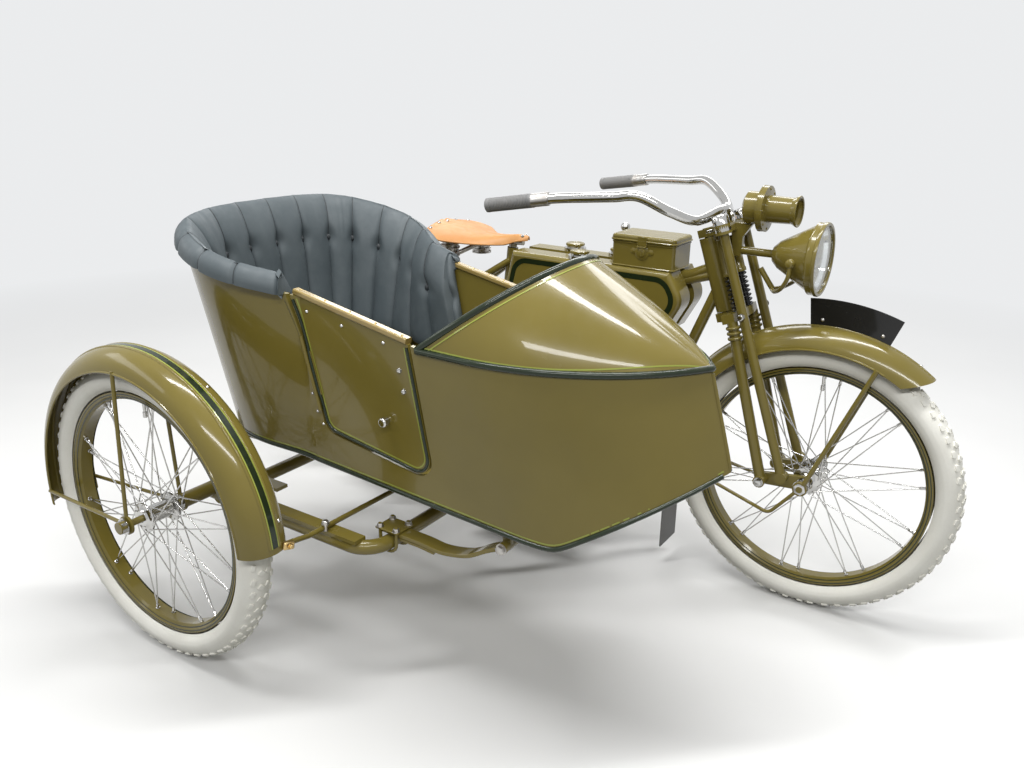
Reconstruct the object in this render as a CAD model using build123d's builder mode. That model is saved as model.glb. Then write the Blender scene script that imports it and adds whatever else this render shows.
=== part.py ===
# Sidecar motorcycle of the late 1910s, in millimetres.
# The machine stands on its three wheels. +X is forward, +Y is to the rider's left, +Z is up, and the
# sidecar is on the right. The origin is on the ground, under the middle of the whole machine.
# Points are first measured from the ground under the front axle, in the motorcycle's middle plane,
# and at() moves them into the part's own frame.
import os
from math import asin, cos, hypot, pi, radians, sin, sqrt, tan

from build123d import *

os.makedirs("parts", exist_ok=True)

# Where the machine stands
origin_back = 784.0        # the origin lies this far behind the front axle
origin_right = 420.0       # and this far to the right of the motorcycle's middle plane
wheelbase = 1511.0
side_wheel_back = 1174.0   # sidecar axle behind the front axle
track = 1064.0             # sidecar wheel's middle plane to the motorcycle's
car_offset = 612.0         # sidecar body's middle plane to the motorcycle's

# Wheels and tyres
tyre_radius = 355.6
tyre_width = 76.0
rim_edge_radius = 290.0
rim_inner_radius = 272.0
rim_width = 46.0
spoke_count = 40
spoke_diameter = 3.0
spoke_lacing_deg = 63.0
axle_diameter = 16.0
running_gap = 0.05
seat_gap = 0.3

# Steering
rake_deg = 19.5
head_top = (-323.0, 930.0)
head_length = 190.0
head_diameter = 54.0
stem_diameter = 26.0

# Mudguards
guard_crown_radius = 393.0
guard_edge_radius = 343.0
guard_width = 116.0
guard_sheet = 2.5

# Sidecar body
car_half_width = 240.0     # at the bead
bead_height = 795.0
nose_tip_back = 63.0       # nose tip behind the front axle, at the bead
nose_rake = 0.29           # the stem leans forward going down, per unit of height
nose_bend_radius = 470.0
side_taper = 0.057         # the sides draw in going down, per unit of height
car_wall = 10.0
floor_front = (-268.0, 438.0)
floor_rise = 0.06
keel_slope = 0.609
tub_back = 1285.0          # back of the tub behind the front axle, at its top
rail_front = (-581.0, 800.0)
rail_rear = (-907.0, 862.0)
tub_rear_top = 985.0
arch_top = (-357.0, 970.0)

# Door: both its edges lean back going up, and its foot rises to the rear
door_front_back = 598.0    # front edge behind the front axle, at the rail
door_rear_back = 910.0     # rear edge, at the rail
door_front_lean = 0.16
door_rear_lean = 0.22
door_foot = (-570.0, 518.0)
door_foot_rise = 0.16
door_gap = 5.6


def at(x, y, z):
    """A point measured from the ground under the front axle, in the part's frame."""
    return (origin_back + x, origin_right + y, z)


def side_plane(y):
    """The vertical plane at y, drawn in forward and up."""
    return Plane(origin=at(0, y, 0), x_dir=(1, 0, 0), z_dir=(0, -1, 0))


def rod(points, diameter, bend=0.0):
    """A round bar through the points, with arcs of the bend radius between its runs."""
    with BuildLine() as path:
        if len(points) == 2:
            Line(*points)
        else:
            FilletPolyline(*points, radius=bend)
    with BuildSketch(Plane(origin=path.line @ 0, z_dir=path.line % 0)) as section:
        Circle(diameter / 2)
    sweep(section.sketch, path=path.line)


def disc(centre, direction, diameter, thickness, bore=0.0, mode=Mode.ADD):
    """A disc or a ring that starts at the centre and grows along the direction."""
    with BuildSketch(Plane(origin=centre, z_dir=direction)) as section:
        Circle(diameter / 2)
        if bore:
            Circle(bore / 2, mode=Mode.SUBTRACT)
    extrude(section.sketch, amount=thickness, mode=mode)


def plate(plane, outline, thickness, both=True, mode=Mode.ADD):
    """A flat plate with a straight-sided outline, drawn in the plane."""
    with BuildSketch(plane) as section:
        with BuildLine():
            Polyline(*outline, close=True)
        make_face()
    extrude(section.sketch, amount=thickness / 2 if both else thickness, both=both, mode=mode)


def turned(centre, outline, direction=(0, 1, 0)):
    """A body turned about the direction through the centre, from (along, radius) points."""
    across = (0, 0, 1) if abs(direction[2]) < 0.9 else (1, 0, 0)
    plane = Plane(origin=centre, x_dir=direction, z_dir=Vector(*direction).cross(Vector(*across)))
    with BuildSketch(plane) as section:
        with BuildLine():
            Polyline(*outline, close=True)
        make_face()
    revolve(section.sketch, axis=Axis(centre, direction))


def belt(front, front_radius, rear, rear_radius):
    """The outline of a tight loop round two discs in side view, as short straight runs."""
    slope = asin((rear_radius - front_radius) / (Vector(*front) - Vector(*rear)).length)
    lean = slope - asin((front[1] - rear[1]) / (Vector(*front) - Vector(*rear)).length)
    sink = -slope - asin((front[1] - rear[1]) / (Vector(*front) - Vector(*rear)).length)
    steps = 12
    start, end = -pi / 2 - sink, pi / 2 - lean
    ahead_of = [start + (end - start) * i / steps for i in range(steps + 1)]
    behind = [end + (start + 2 * pi - end) * i / steps for i in range(steps + 1)]
    return ([(front[0] + front_radius * cos(a), front[1] + front_radius * sin(a)) for a in ahead_of]
            + [(rear[0] + rear_radius * cos(a), rear[1] + rear_radius * sin(a)) for a in behind])


def finish(piece, name):
    """Label the piece and write its file."""
    piece.part.label = name
    export_step(piece.part, f"parts/{name}.step")


# The three wheels: (name, forward, left, hub half width, flange radius, hub barrel radius)
wheels = (
    ("front", 0.0, 0.0, 36.0, 33.0, 20.0),
    ("rear", -wheelbase, 0.0, 40.0, 40.0, 24.0),
    ("side", -side_wheel_back, -track, 36.0, 33.0, 20.0),
)


def make_tyre(name, x, y):
    """A tyre of round section on the rim's seat, faceted so that it stays light."""
    section_radius = tyre_width / 2
    middle = tyre_radius - section_radius
    foot = rim_width / 2 - 5
    with BuildPart() as tyre:
        with BuildSketch(Plane(origin=at(x, y, tyre_radius), x_dir=(0, 1, 0), z_dir=(1, 0, 0))) as section:
            with BuildLine():
                rounds = [-45, -22, 0, 25, 50, 72, 90, 108, 130, 155, 180, 202, 225]
                arc = [(section_radius * cos(radians(a)), middle + section_radius * sin(radians(a)))
                       for a in rounds]
                Polyline((foot, rim_edge_radius - 6), (foot, rim_edge_radius + seat_gap), *arc,
                         (-foot, rim_edge_radius + seat_gap), (-foot, rim_edge_radius - 6), close=True)
            make_face()
        revolve(section.sketch, axis=Axis(at(x, y, tyre_radius), (0, 1, 0)))
    finish(tyre, f"{name}_tyre")


def make_rim(name, x, y):
    """The rim: a channel with two rolled edges that grip the tyre."""
    half = rim_width / 2
    seat = rim_edge_radius - 6 - seat_gap
    lip = 5 - seat_gap
    outline = (
        (-half, rim_edge_radius), (-half + lip, rim_edge_radius), (-half + lip, seat),
        (half - lip, seat), (half - lip, rim_edge_radius), (half, rim_edge_radius),
        (half, seat - 2), (half - 9, rim_inner_radius), (-half + 9, rim_inner_radius), (-half, seat - 2),
    )
    with BuildPart() as rim:
        turned(at(x, y, tyre_radius), outline)
    finish(rim, f"{name}_rim")


def make_spokes(name, x, y, hub_half, flange_radius, barrel_radius):
    """The hub with its two flanges, and the crossed spokes that it carries."""
    bore = axle_diameter / 2 + running_gap
    flange = 4.0
    outline = (
        (-hub_half - 6, bore), (hub_half + 6, bore), (hub_half + 6, barrel_radius - 4),
        (hub_half, barrel_radius - 2), (hub_half, flange_radius), (hub_half - flange, flange_radius),
        (hub_half - flange - 4, barrel_radius), (-hub_half + flange + 4, barrel_radius),
        (-hub_half + flange, flange_radius), (-hub_half, flange_radius),
        (-hub_half, barrel_radius - 2), (-hub_half - 6, barrel_radius - 4),
    )
    centre = at(x, y, tyre_radius)
    step = 2 * pi / (spoke_count / 2)
    with BuildPart() as spokes:
        turned(centre, outline)
        for side in (1, -1):
            for i in range(spoke_count // 2):
                lean = 1 if i % 2 else -1
                start = i * step + (step / 2 if side > 0 else 0)
                end = start + lean * radians(spoke_lacing_deg)
                hub_y = side * (hub_half - flange / 2 + 3.0 * lean)
                hub_r = flange_radius - 3
                rim_r = rim_inner_radius - 1.0
                a = Vector(centre[0] + hub_r * cos(start), centre[1] + hub_y, centre[2] + hub_r * sin(start))
                b = Vector(centre[0] + rim_r * cos(end), centre[1] + side * 6, centre[2] + rim_r * sin(end))
                disc(a, b - a, spoke_diameter, (b - a).length)
    finish(spokes, f"{name}_spokes")


for name, x, y, hub_half, flange_radius, barrel_radius in wheels:
    make_tyre(name, x, y)
    make_rim(name, x, y)
    make_spokes(name, x, y, hub_half, flange_radius, barrel_radius)

# Steering geometry, in the motorcycle's middle plane
down = Vector(sin(radians(rake_deg)), 0, -cos(radians(rake_deg)))
ahead = Vector(cos(radians(rake_deg)), 0, sin(radians(rake_deg)))
head = Vector(*at(head_top[0], 0, head_top[1]))


def steer(along, forward=0.0, left=0.0):
    """A point by its distance down the steering axis, ahead of it and to the left of it."""
    return head + down * along + ahead * forward + Vector(0, left, 0)


# Main frame: the loop of tubes that carries the engine
tube = 28.0
seat_tube_top = (-916.0, 836.0)
seat_tube_foot = (-984.0, 170.0)
cradle_height = 170.0
rail_centre = 824.0
with BuildPart() as frame:
    disc(steer(0), down, head_diameter, head_length)
    rod([steer(75), at(-372, 0, rail_centre), at(-800, 0, rail_centre), at(-914, 0, 800)], tube, 80)
    rod([steer(95), at(-926, 0, 640)], tube)
    rod([steer(120), at(-470, 0, 330), at(-530, 0, cradle_height), at(seat_tube_foot[0], 0, cradle_height)],
        tube, 60)
    rod([at(seat_tube_top[0], 0, seat_tube_top[1]), at(seat_tube_foot[0], 0, seat_tube_foot[1])], tube + 4)
    for side in (1, -1):
        rod([at(-917, side * 10, 800), at(-1120, side * 82, 660), at(-wheelbase, side * 96, tyre_radius)],
            20, 120)
        rod([at(-978, side * 8, 190), at(-1110, side * 88, 196), at(-wheelbase, side * 96, tyre_radius)],
            20, 60)
        disc(at(-wheelbase, side * 101 - 5, tyre_radius), (0, 1, 0), 56, 10)
    disc(at(-wheelbase, -142, tyre_radius), (0, 1, 0), axle_diameter, 284)
    disc(steer(-5), down, stem_diameter + 2 * running_gap, head_length + 10, mode=Mode.SUBTRACT)
finish(frame, "frame")

# Engine: a pair of finned cylinders in a vee over one crankcase
crank = (-700.0, 300.0)
crankcase_radius = 112.0
crankcase_width = 104.0
vee_half_deg = 22.5
fin_radius = 66.0
barrel_radius = 46.0
cylinder_reach = 340.0
fin_count = 12
vee = [Vector(sin(radians(lean)), 0, cos(radians(lean))) for lean in (vee_half_deg, -vee_half_deg)]
crank_centre = Vector(*at(crank[0], 0, crank[1]))
cylinder_base = 132.0
base_radius = 52.0
with BuildPart() as crankcase:
    disc(at(crank[0], -crankcase_width / 2, crank[1]), (0, 1, 0), 2 * crankcase_radius, crankcase_width)
    for direction in vee:
        disc(crank_centre, direction, 2 * base_radius, cylinder_base - seat_gap)
    with BuildSketch(side_plane(-crankcase_width / 2)) as timing:
        with Locations((crank[0] + 20, crank[1] + 15)):
            SlotOverall(250, 120)
    extrude(timing.sketch, amount=26)
    lug_bottom = cradle_height + tube / 2 + seat_gap
    plate(side_plane(0), ((crank[0] - 70, lug_bottom), (crank[0] + 70, lug_bottom), (crank[0] + 50, 230),
                          (crank[0] - 50, 230)), 70)
finish(crankcase, "crankcase")


port_reach = 270.0
port_y = 74.0


def make_cylinder(name, direction):
    """One cylinder with its cooling fins and its head."""
    base = crank_centre + direction * cylinder_base
    height = cylinder_reach - cylinder_base
    pitch = (height - 30) / fin_count
    with BuildPart() as cylinder:
        disc(base, direction, 2 * barrel_radius, height)
        disc(base, direction, 2 * base_radius, 9)
        for i in range(fin_count):
            reach = cylinder_base + 26 + i * pitch
            shoulder = 6 * max(0, i - fin_count + 4)
            size = min(fin_radius, reach * tan(radians(vee_half_deg)) - 2) - shoulder
            disc(crank_centre + direction * reach, direction, 2 * size, 4)
        disc(crank_centre + direction * cylinder_reach, direction, 52, 14)
        disc(crank_centre + direction * port_reach + Vector(0, barrel_radius - 8, 0), (0, 1, 0), 42,
             port_y - barrel_radius + 8)
    finish(cylinder, name)


make_cylinder("front_cylinder", vee[0])
make_cylinder("rear_cylinder", vee[1])

# Carburettor between the cylinders on the left, with its two-way manifold
port_x = port_reach * sin(radians(vee_half_deg))
port_z = crank[1] + port_reach * cos(radians(vee_half_deg))
with BuildPart() as intake:
    rod([at(crank[0] - port_x, port_y + seat_gap, port_z), at(crank[0] - port_x, 104, port_z),
         at(crank[0] + port_x, 104, port_z), at(crank[0] + port_x, port_y + seat_gap, port_z)], 30, 26)
    disc(at(crank[0], 100, port_z), (0, 1, 0), 44, 60)
    disc(at(crank[0], 134, port_z - 80), (0, 0, 1), 62, 66)
    disc(at(crank[0], 160, port_z), (0, 1, 0), 70, 22)
finish(intake, "intake")

# Exhaust: one pipe from each cylinder on the right, joined into the silencer
silencer_height = 190.0
pipe_y = -122.0
with BuildPart() as exhaust:
    rod([at(crank[0] + 115, -66.5, 560), at(crank[0] + 115, pipe_y, 560), at(crank[0] + 100, pipe_y, 300),
         at(crank[0], pipe_y, silencer_height), at(crank[0] - 200, pipe_y, silencer_height)], 38, 38)
    rod([at(crank[0] - 115, -66.5, 560), at(crank[0] - 115, pipe_y, 560),
         at(crank[0] - 150, pipe_y, silencer_height)], 36, 38)
    rod([at(crank[0] - 190, pipe_y, silencer_height), at(-1160, -150, silencer_height)], 42)
    disc(at(-1150, -150, silencer_height), (-1, 0, 0), 78, 260)
    disc(at(-1410, -150, silencer_height), (-1, 0, 0), 34, 40)
finish(exhaust, "exhaust")

# Gearbox behind the engine, with the step starter on its right
gearbox_at = (-1053.0, 290.0)
sprocket_radius = 92.0
front_sprocket_radius = 40.0
chain_y = 61.0
chain_width = 10.0
chain_height = 12.0
with BuildPart() as gearbox:
    with BuildSketch(side_plane(52)) as case:
        with Locations(gearbox_at):
            RectangleRounded(98, 128, 20)
    extrude(case.sketch, amount=104)
    plate(side_plane(0), ((-1010, 270), (-990.2, 270), (-985.2, 320), (-1010, 320)), 24)
    disc(at(gearbox_at[0], -52, gearbox_at[1]), (0, -1, 0), 60, 38)
    disc(at(gearbox_at[0], 52, gearbox_at[1]), (0, 1, 0), 50, 6)
    disc(at(gearbox_at[0], chain_y - 3, gearbox_at[1]), (0, 1, 0), 2 * front_sprocket_radius - 1.2, 6)
    rod([at(gearbox_at[0], -86, gearbox_at[1]), at(gearbox_at[0] - 190, -86, gearbox_at[1] + 110)], 18)
    rod([at(gearbox_at[0] - 186, -80, gearbox_at[1] + 108), at(gearbox_at[0] - 186, -190, gearbox_at[1] + 108)],
        22)
finish(gearbox, "gearbox")

# Primary chain cover on the left
with BuildPart() as primary_cover:
    with BuildSketch(side_plane(69)) as cover:
        with BuildLine():
            Polyline(*belt(crank, 78, gearbox_at, 82), close=True)
        make_face()
    extrude(cover.sketch, amount=-44)
    disc(at(crank[0], crankcase_width / 2 + seat_gap, crank[1]), (0, 1, 0), 90, 18)
    fillet(primary_cover.faces().sort_by(Axis.Y)[-1].edges(), 12)
finish(primary_cover, "primary_cover")

# Drive chain to the rear wheel, as one closed loop round its sprockets
with BuildPart() as drive_chain:
    with BuildSketch(side_plane(chain_y + chain_width / 2)) as loop:
        for grow, mode in ((chain_height, Mode.ADD), (0, Mode.SUBTRACT)):
            with BuildLine():
                Polyline(*belt(gearbox_at, front_sprocket_radius + grow, (-wheelbase, tyre_radius),
                               sprocket_radius + grow), close=True)
            make_face(mode=mode)
    extrude(loop.sketch, amount=chain_width)
finish(drive_chain, "drive_chain")

# Drive sprocket on the left end of the rear hub and brake drum on the right end
rear_axle = at(-wheelbase, 0, tyre_radius)
hub_end = wheels[1][3] + 6
with BuildPart() as rear_sprocket:
    turned(rear_axle, ((hub_end, 9), (chain_y + 3, 9), (chain_y + 3, sprocket_radius - 3),
                       (chain_y - 3, sprocket_radius - 3), (chain_y - 3, 42), (hub_end, 42)))
finish(rear_sprocket, "rear_sprocket")

with BuildPart() as rear_drum:
    turned(rear_axle, ((-hub_end - 30, 9), (-hub_end, 9), (-hub_end, 95), (-hub_end - 30, 95)))
finish(rear_drum, "rear_drum")

# Fuel tank: two flat-sided halves, one each side of the frame's rails
tank_top = 842.0
tank_bottom = 660.0
tank_half_width = 82.0
tank_slot = 14.3
with BuildPart() as fuel_tank:
    with BuildSketch(side_plane(-tank_slot)) as half:
        with BuildLine():
            Polyline((-868, tank_top), (-392, tank_top), (-350, 770), (-400, tank_bottom + 18),
                     (-440, tank_bottom), (-860, tank_bottom), (-892, 742), close=True)
        make_face()
        fillet(half.vertices().group_by(Axis.X)[0], 20)
        fillet(half.vertices().group_by(Axis.X)[-1], 46)
    extrude(half.sketch, amount=tank_half_width - tank_slot)
    fillet(fuel_tank.faces().sort_by(Axis.Y)[0].edges(), 14)
    mirror(about=Plane.XZ.offset(-origin_right))
finish(fuel_tank, "fuel_tank")

# Filler caps, the gear lever and its ball, on top of the tank
with BuildPart() as tank_fittings:
    for x, y, size in ((-668, -48, 62), (-735, 46, 62), (-600, 46, 52)):
        disc(at(x, y, tank_top + seat_gap), (0, 0, 1), size, 8)
        disc(at(x, y, tank_top + 6), (0, 0, 1), size - 14, 14)
    rod([at(-600, 46, tank_top + 20), at(-590, 60, tank_top + 70)], 9)
    with Locations(at(-589, 61, tank_top + 78)):
        Sphere(13)
finish(tank_fittings, "tank_fittings")

# Tool box on the tank: an open box, with a lid hinged at its left
box_low = (-560.0, -72.0)
box_high = (-385.0, 40.0)
box_height = 66.0
box_wall = 2.0
lid_height = 16.0
box_bottom = tank_top + seat_gap
box_middle = (box_low[0] + box_high[0]) / 2
box_knuckle = 40.0         # the lid's knuckle reaches this far each way from the box's middle
lid_pin_radius = 4.0
lid_pin = (box_high[1] + 6.5, box_bottom + box_height + seat_gap)


def across_plane(x):
    """A plane square to the motorcycle's length, in distances to the left and up."""
    return Plane(origin=at(x, 0, 0), x_dir=(0, 1, 0), z_dir=(1, 0, 0))


with BuildPart() as toolbox:
    with BuildSketch(Plane.XY.offset(box_bottom)) as floor:
        with Locations(at((box_low[0] + box_high[0]) / 2, (box_low[1] + box_high[1]) / 2, 0)):
            RectangleRounded(box_high[0] - box_low[0], box_high[1] - box_low[1], 10)
    extrude(floor.sketch, amount=box_height)
    offset(amount=-box_wall, openings=toolbox.faces().sort_by(Axis.Z)[-1])
    for start in (-box_knuckle - 30, box_knuckle):
        disc(at(box_middle + start, lid_pin[0], lid_pin[1]), (1, 0, 0), 2 * lid_pin_radius, 30)
        plate(across_plane(box_middle + start + 15),
              ((box_high[1] - 1, lid_pin[1] - 14), (box_high[1] + 1.5, lid_pin[1] - 14),
               (lid_pin[0] + 3, lid_pin[1] - 1), (lid_pin[0] - 3, lid_pin[1] + 1),
               (box_high[1] - 1, lid_pin[1] - 4)), 30)
finish(toolbox, "toolbox")

with BuildPart() as toolbox_lid:
    with BuildSketch(Plane.XY.offset(box_bottom + box_height + seat_gap)) as top:
        with Locations(at((box_low[0] + box_high[0]) / 2, (box_low[1] + box_high[1]) / 2, 0)):
            RectangleRounded(box_high[0] - box_low[0] + 4, box_high[1] - box_low[1] + 4, 11)
    extrude(top.sketch, amount=lid_height)
    fillet(toolbox_lid.faces().sort_by(Axis.Z)[-1].edges(), 8)
    disc(at(box_middle - box_knuckle + seat_gap, lid_pin[0], lid_pin[1]), (1, 0, 0), 2 * lid_pin_radius,
         2 * (box_knuckle - seat_gap))
    plate(across_plane(box_middle),
          ((box_high[1] + 1, lid_pin[1] + 1), (lid_pin[0], lid_pin[1] + 1), (lid_pin[0], lid_pin[1] + 4),
           (box_high[1] + 1, lid_pin[1] + 6)), 2 * (box_knuckle - seat_gap))
finish(toolbox_lid, "toolbox_lid")

# Saddle: leather over a pan, on its sprung post
saddle_nose = -862.0
saddle_back = -1150.0
saddle_height = 876.0
with BuildPart() as saddle:
    with BuildSketch(Plane.XY.offset(saddle_height - 14)) as pan:
        with BuildLine():
            ThreePointArc(at(saddle_back + 40, -135, 0), at(saddle_back - 18, 0, 0), at(saddle_back + 40, 135, 0))
            Spline(at(saddle_back + 40, 135, 0), at(saddle_back + 150, 82, 0), at(saddle_nose - 30, 24, 0),
                   at(saddle_nose, 0, 0))
            Spline(at(saddle_nose, 0, 0), at(saddle_nose - 30, -24, 0), at(saddle_back + 150, -82, 0),
                   at(saddle_back + 40, -135, 0))
        make_face()
    extrude(pan.sketch, amount=28)
finish(saddle, "saddle")

with BuildPart() as saddle_post:
    disc(at(seat_tube_top[0], 0, seat_tube_top[1] + 2), (0, 0, 1), 24, 10)
    rod([at(-880, 0, 853), at(-1010, 0, 850)], 16)
    for side in (1, -1):
        rod([at(-1004, 0, 850), at(-1085, side * 80, 800)], 14)
        disc(at(-1085, side * 80, 792), (0, 0, 1), 44, saddle_height - 14 - seat_gap - 792)
finish(saddle_post, "saddle_post")


def guard_profile():
    """The section of a domed mudguard, across and out from the axle."""
    half = guard_width / 2
    with BuildLine() as line:
        ThreePointArc((-half, guard_edge_radius), (0, guard_crown_radius), (half, guard_edge_radius))
        Line((half, guard_edge_radius), (half - guard_sheet, guard_edge_radius))
        ThreePointArc((half - guard_sheet, guard_edge_radius), (0, guard_crown_radius - guard_sheet),
                      (-half + guard_sheet, guard_edge_radius))
        Line((-half + guard_sheet, guard_edge_radius), (-half, guard_edge_radius))
    return line.line


def guard(x, y, start_deg, end_deg):
    """A mudguard swept round the axle, from and to angles above forward."""
    centre = at(x, y, tyre_radius)
    outward = Vector(cos(radians(start_deg)), 0, sin(radians(start_deg)))
    plane = Plane(origin=centre, x_dir=(0, 1, 0), z_dir=Vector(0, 1, 0).cross(outward))
    with BuildSketch(plane) as section:
        with BuildLine():
            add(guard_profile())
        make_face()
    revolve(section.sketch, axis=Axis(centre, (0, -1, 0)), revolution_arc=end_deg - start_deg)


def round_point(x, y, radius, angle_deg):
    """A point on a circle round an axle, at an angle above forward."""
    return at(x + radius * cos(radians(angle_deg)), y, tyre_radius + radius * sin(radians(angle_deg)))


stay = 9.0
with BuildPart() as rear_guard:
    guard(-wheelbase, 0, 15, 205)
    for side in (1, -1):
        for angle in (105, 160):
            rod([round_point(-wheelbase, side * 114, 14, angle), round_point(-wheelbase, side * 56, 350, angle)],
                stay)
        disc(at(-wheelbase, side * 108, tyre_radius), (0, side, 0), 40, 8, bore=axle_diameter + 2 * seat_gap)
finish(rear_guard, "rear_guard")

# Footboards on cross bars under the crankcase
with BuildPart() as footboards:
    bar_height = cradle_height - tube / 2 - seat_gap - 8
    for x in (-620, -830):
        rod([at(x, -190, bar_height), at(x, 190, bar_height)], 16)
    for side in (1, -1):
        with BuildSketch(Plane.XY.offset(bar_height + 6)) as board:
            with Locations(at(-725, side * 165, 0)):
                RectangleRounded(300, 90, 18)
        extrude(board.sketch, amount=8)
    rod([at(-620, 186, bar_height), at(-550, 186, bar_height), at(-538, 186, 238)], 10, 14)
    disc(at(-538, 166, 238), (0, 1, 0), 16, 40)
finish(footboards, "footboards")

# Rear stand, folded up round the wheel and the mudguard's tail
stand_reach = guard_crown_radius + 22
stand_half = 128.0
stand_angle = 168.0
with BuildPart() as rear_stand:
    rod([round_point(-wheelbase, stand_half, 14, stand_angle),
         round_point(-wheelbase, stand_half, stand_reach, stand_angle),
         round_point(-wheelbase, -stand_half, stand_reach, stand_angle),
         round_point(-wheelbase, -stand_half, 14, stand_angle)], 14, 30)
    for side in (1, -1):
        disc(at(-wheelbase, side * (stand_half - 8), tyre_radius), (0, side, 0), 40, 16)
    disc(at(-wheelbase, -stand_half - 10, tyre_radius), (0, 1, 0), axle_diameter + 2 * running_gap,
         2 * stand_half + 20, mode=Mode.SUBTRACT)
finish(rear_stand, "rear_stand")

# Sidecar body: its plan is drawn at two heights and lofted, then trimmed by its side view
car_y = -car_offset


def half_width(height):
    """Half the body's width at a height."""
    return car_half_width + (height - bead_height) * side_taper


def nose_tip(height):
    """How far forward the stem is at a height."""
    return -nose_tip_back + (bead_height - height) * nose_rake


def drawn_in(points, inset):
    """An open outline moved inwards, each point square to its neighbours."""
    moved = []
    for i, (x, half) in enumerate(points):
        before = points[max(i - 1, 0)]
        after = points[i + 1] if i + 1 < len(points) else (before[0], -before[1])
        run = hypot(after[0] - before[0], after[1] - before[1])
        moved.append((x - inset * (after[1] - before[1]) / run, half + inset * (after[0] - before[0]) / run))
    return moved


def hull_plan(height, tub, inset=0.0):
    """The closed plan of the body at a height: the nose's two arcs, the sides and the tub's back."""
    half = half_width(height) - inset
    tip = nose_tip(height) - 2.2 * inset
    shoulder = tip - sqrt(nose_bend_radius**2 - (nose_bend_radius - half) ** 2)
    inner = [(tub_start, half), *drawn_in(tub, inset)]
    with BuildSketch(Plane.XY.offset(height)) as plan:
        with BuildLine():
            for side in (1, -1):
                RadiusArc(at(tip, car_y, 0), at(shoulder, car_y + side * half, 0), side * -nose_bend_radius)
                Line(at(shoulder, car_y + side * half, 0), at(tub_start, car_y + side * half, 0))
                Spline(*[at(x, car_y + side * width, 0) for x, width in inner])
        make_face()
    return plan.sketch


plan_low = 420.0
plan_high = 1010.0
tub_start = -890.0
tub_low = ((-1040, 217), (-1130, 210), (-1185, 178), (-1215, 108), (-1225, 0))
tub_high = ((-962, 314), (-1033, 352), (-1115, 348), (-1184, 316), (-1243, 262), (-1276, 180), (-1288, 0))


def hull(inset):
    """The body's full-height form, inset for its inside."""
    loft(sections=[hull_plan(plan_low, tub_low, inset), hull_plan(plan_high, tub_high, inset)], ruled=True)


def floor_height(x):
    """Height of the body's underside, measured along the middle."""
    if x > floor_front[0]:
        return floor_front[1] + (x - floor_front[0]) * keel_slope
    return floor_front[1] + (floor_front[0] - x) * floor_rise


def rail_height(x):
    """Height of the top rails."""
    return rail_front[1] + (x - rail_front[0]) * (rail_rear[1] - rail_front[1]) / (rail_rear[0] - rail_front[0])


def side_view(lift=0.0, back=0.0):
    """The body's side view under the bead, the rails and the seat roll."""
    return (
        (floor_front[0], floor_front[1] + lift), (60, floor_height(60) + lift), (60, bead_height),
        (rail_front[0], bead_height), rail_front, rail_rear,
        (-tub_back - 60, tub_rear_top), (-tub_back - 60, floor_height(-tub_back - 60) + lift),
    )


car_wide = 900.0


def door_edge(height, back, lean):
    """How far forward a leaning edge of the door is at a height."""
    return -back + (rail_height(-back) - height) * lean


def door_foot_at(back, lean):
    """Where a leaning edge of the door meets its foot."""
    height = door_foot[1]
    for _ in range(20):
        height = door_foot[1] + (door_foot[0] - door_edge(height, back, lean)) * door_foot_rise
    return door_edge(height, back, lean), height


def door_outline(gap):
    """The door's outline in side view, grown by the gap."""
    top = 900.0
    rear = door_foot_at(door_rear_back, door_rear_lean)
    front = door_foot_at(door_front_back, door_front_lean)
    return ((door_edge(top, door_rear_back, door_rear_lean) - gap, top), (rear[0] - gap, rear[1] - gap),
            (front[0] + gap, front[1] - gap), (door_edge(top, door_front_back, door_front_lean) + gap, top))


hinge_height = 690.0
hinge_out = 6.2
hinge_radius = 4.0
outward = Vector(0, -1, -side_taper).normalized()
upward = Vector(-door_rear_lean, -side_taper, 1).normalized()
forward = upward.cross(outward)
hinge_x = door_edge(hinge_height, door_rear_back, door_rear_lean) - door_gap / 2
hinge_foot = Vector(*at(hinge_x, car_y - half_width(hinge_height), hinge_height)) + outward * hinge_out


def barrel(low, high):
    """A knuckle of the door's hinge, between two distances up its axis."""
    disc(hinge_foot + upward * low, upward, 2 * hinge_radius, high - low)


def hinge_leaf(start, end, low, high, base, thickness):
    """A leaf of the hinge, by its distances ahead of the knuckles, up the axis and out of the wall."""
    middle = hinge_foot - outward * (hinge_out - base) + upward * ((low + high) / 2)
    with BuildSketch(Plane(origin=middle, x_dir=forward, z_dir=outward)) as leaf_shape:
        with Locations(((start + end) / 2, 0)):
            Rectangle(end - start, high - low)
    extrude(leaf_shape.sketch, amount=thickness)


with BuildPart() as full_hull:
    hull(0)
    plate(side_plane(car_y), side_view(), car_wide, mode=Mode.INTERSECT)
with BuildPart() as hull_space:
    hull(car_wall)
    plate(side_plane(car_y), side_view(lift=car_wall), car_wide, mode=Mode.INTERSECT)

with BuildPart() as car_body:
    add(full_hull.part)
    add(hull_space.part, mode=Mode.SUBTRACT)
    with BuildSketch(side_plane(car_y - 100)) as doorway:
        with BuildLine():
            Polyline(*door_outline(door_gap), close=True)
        make_face()
        fillet(doorway.vertices().group_by(Axis.Z)[0], 40)
    extrude(doorway.sketch, amount=400, mode=Mode.SUBTRACT)
    for low, high in ((-85, -50), (50, 85)):
        hinge_leaf(-12, 0, low, high, -1, 4)
        barrel(low, high)
finish(car_body, "car_body")

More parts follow.
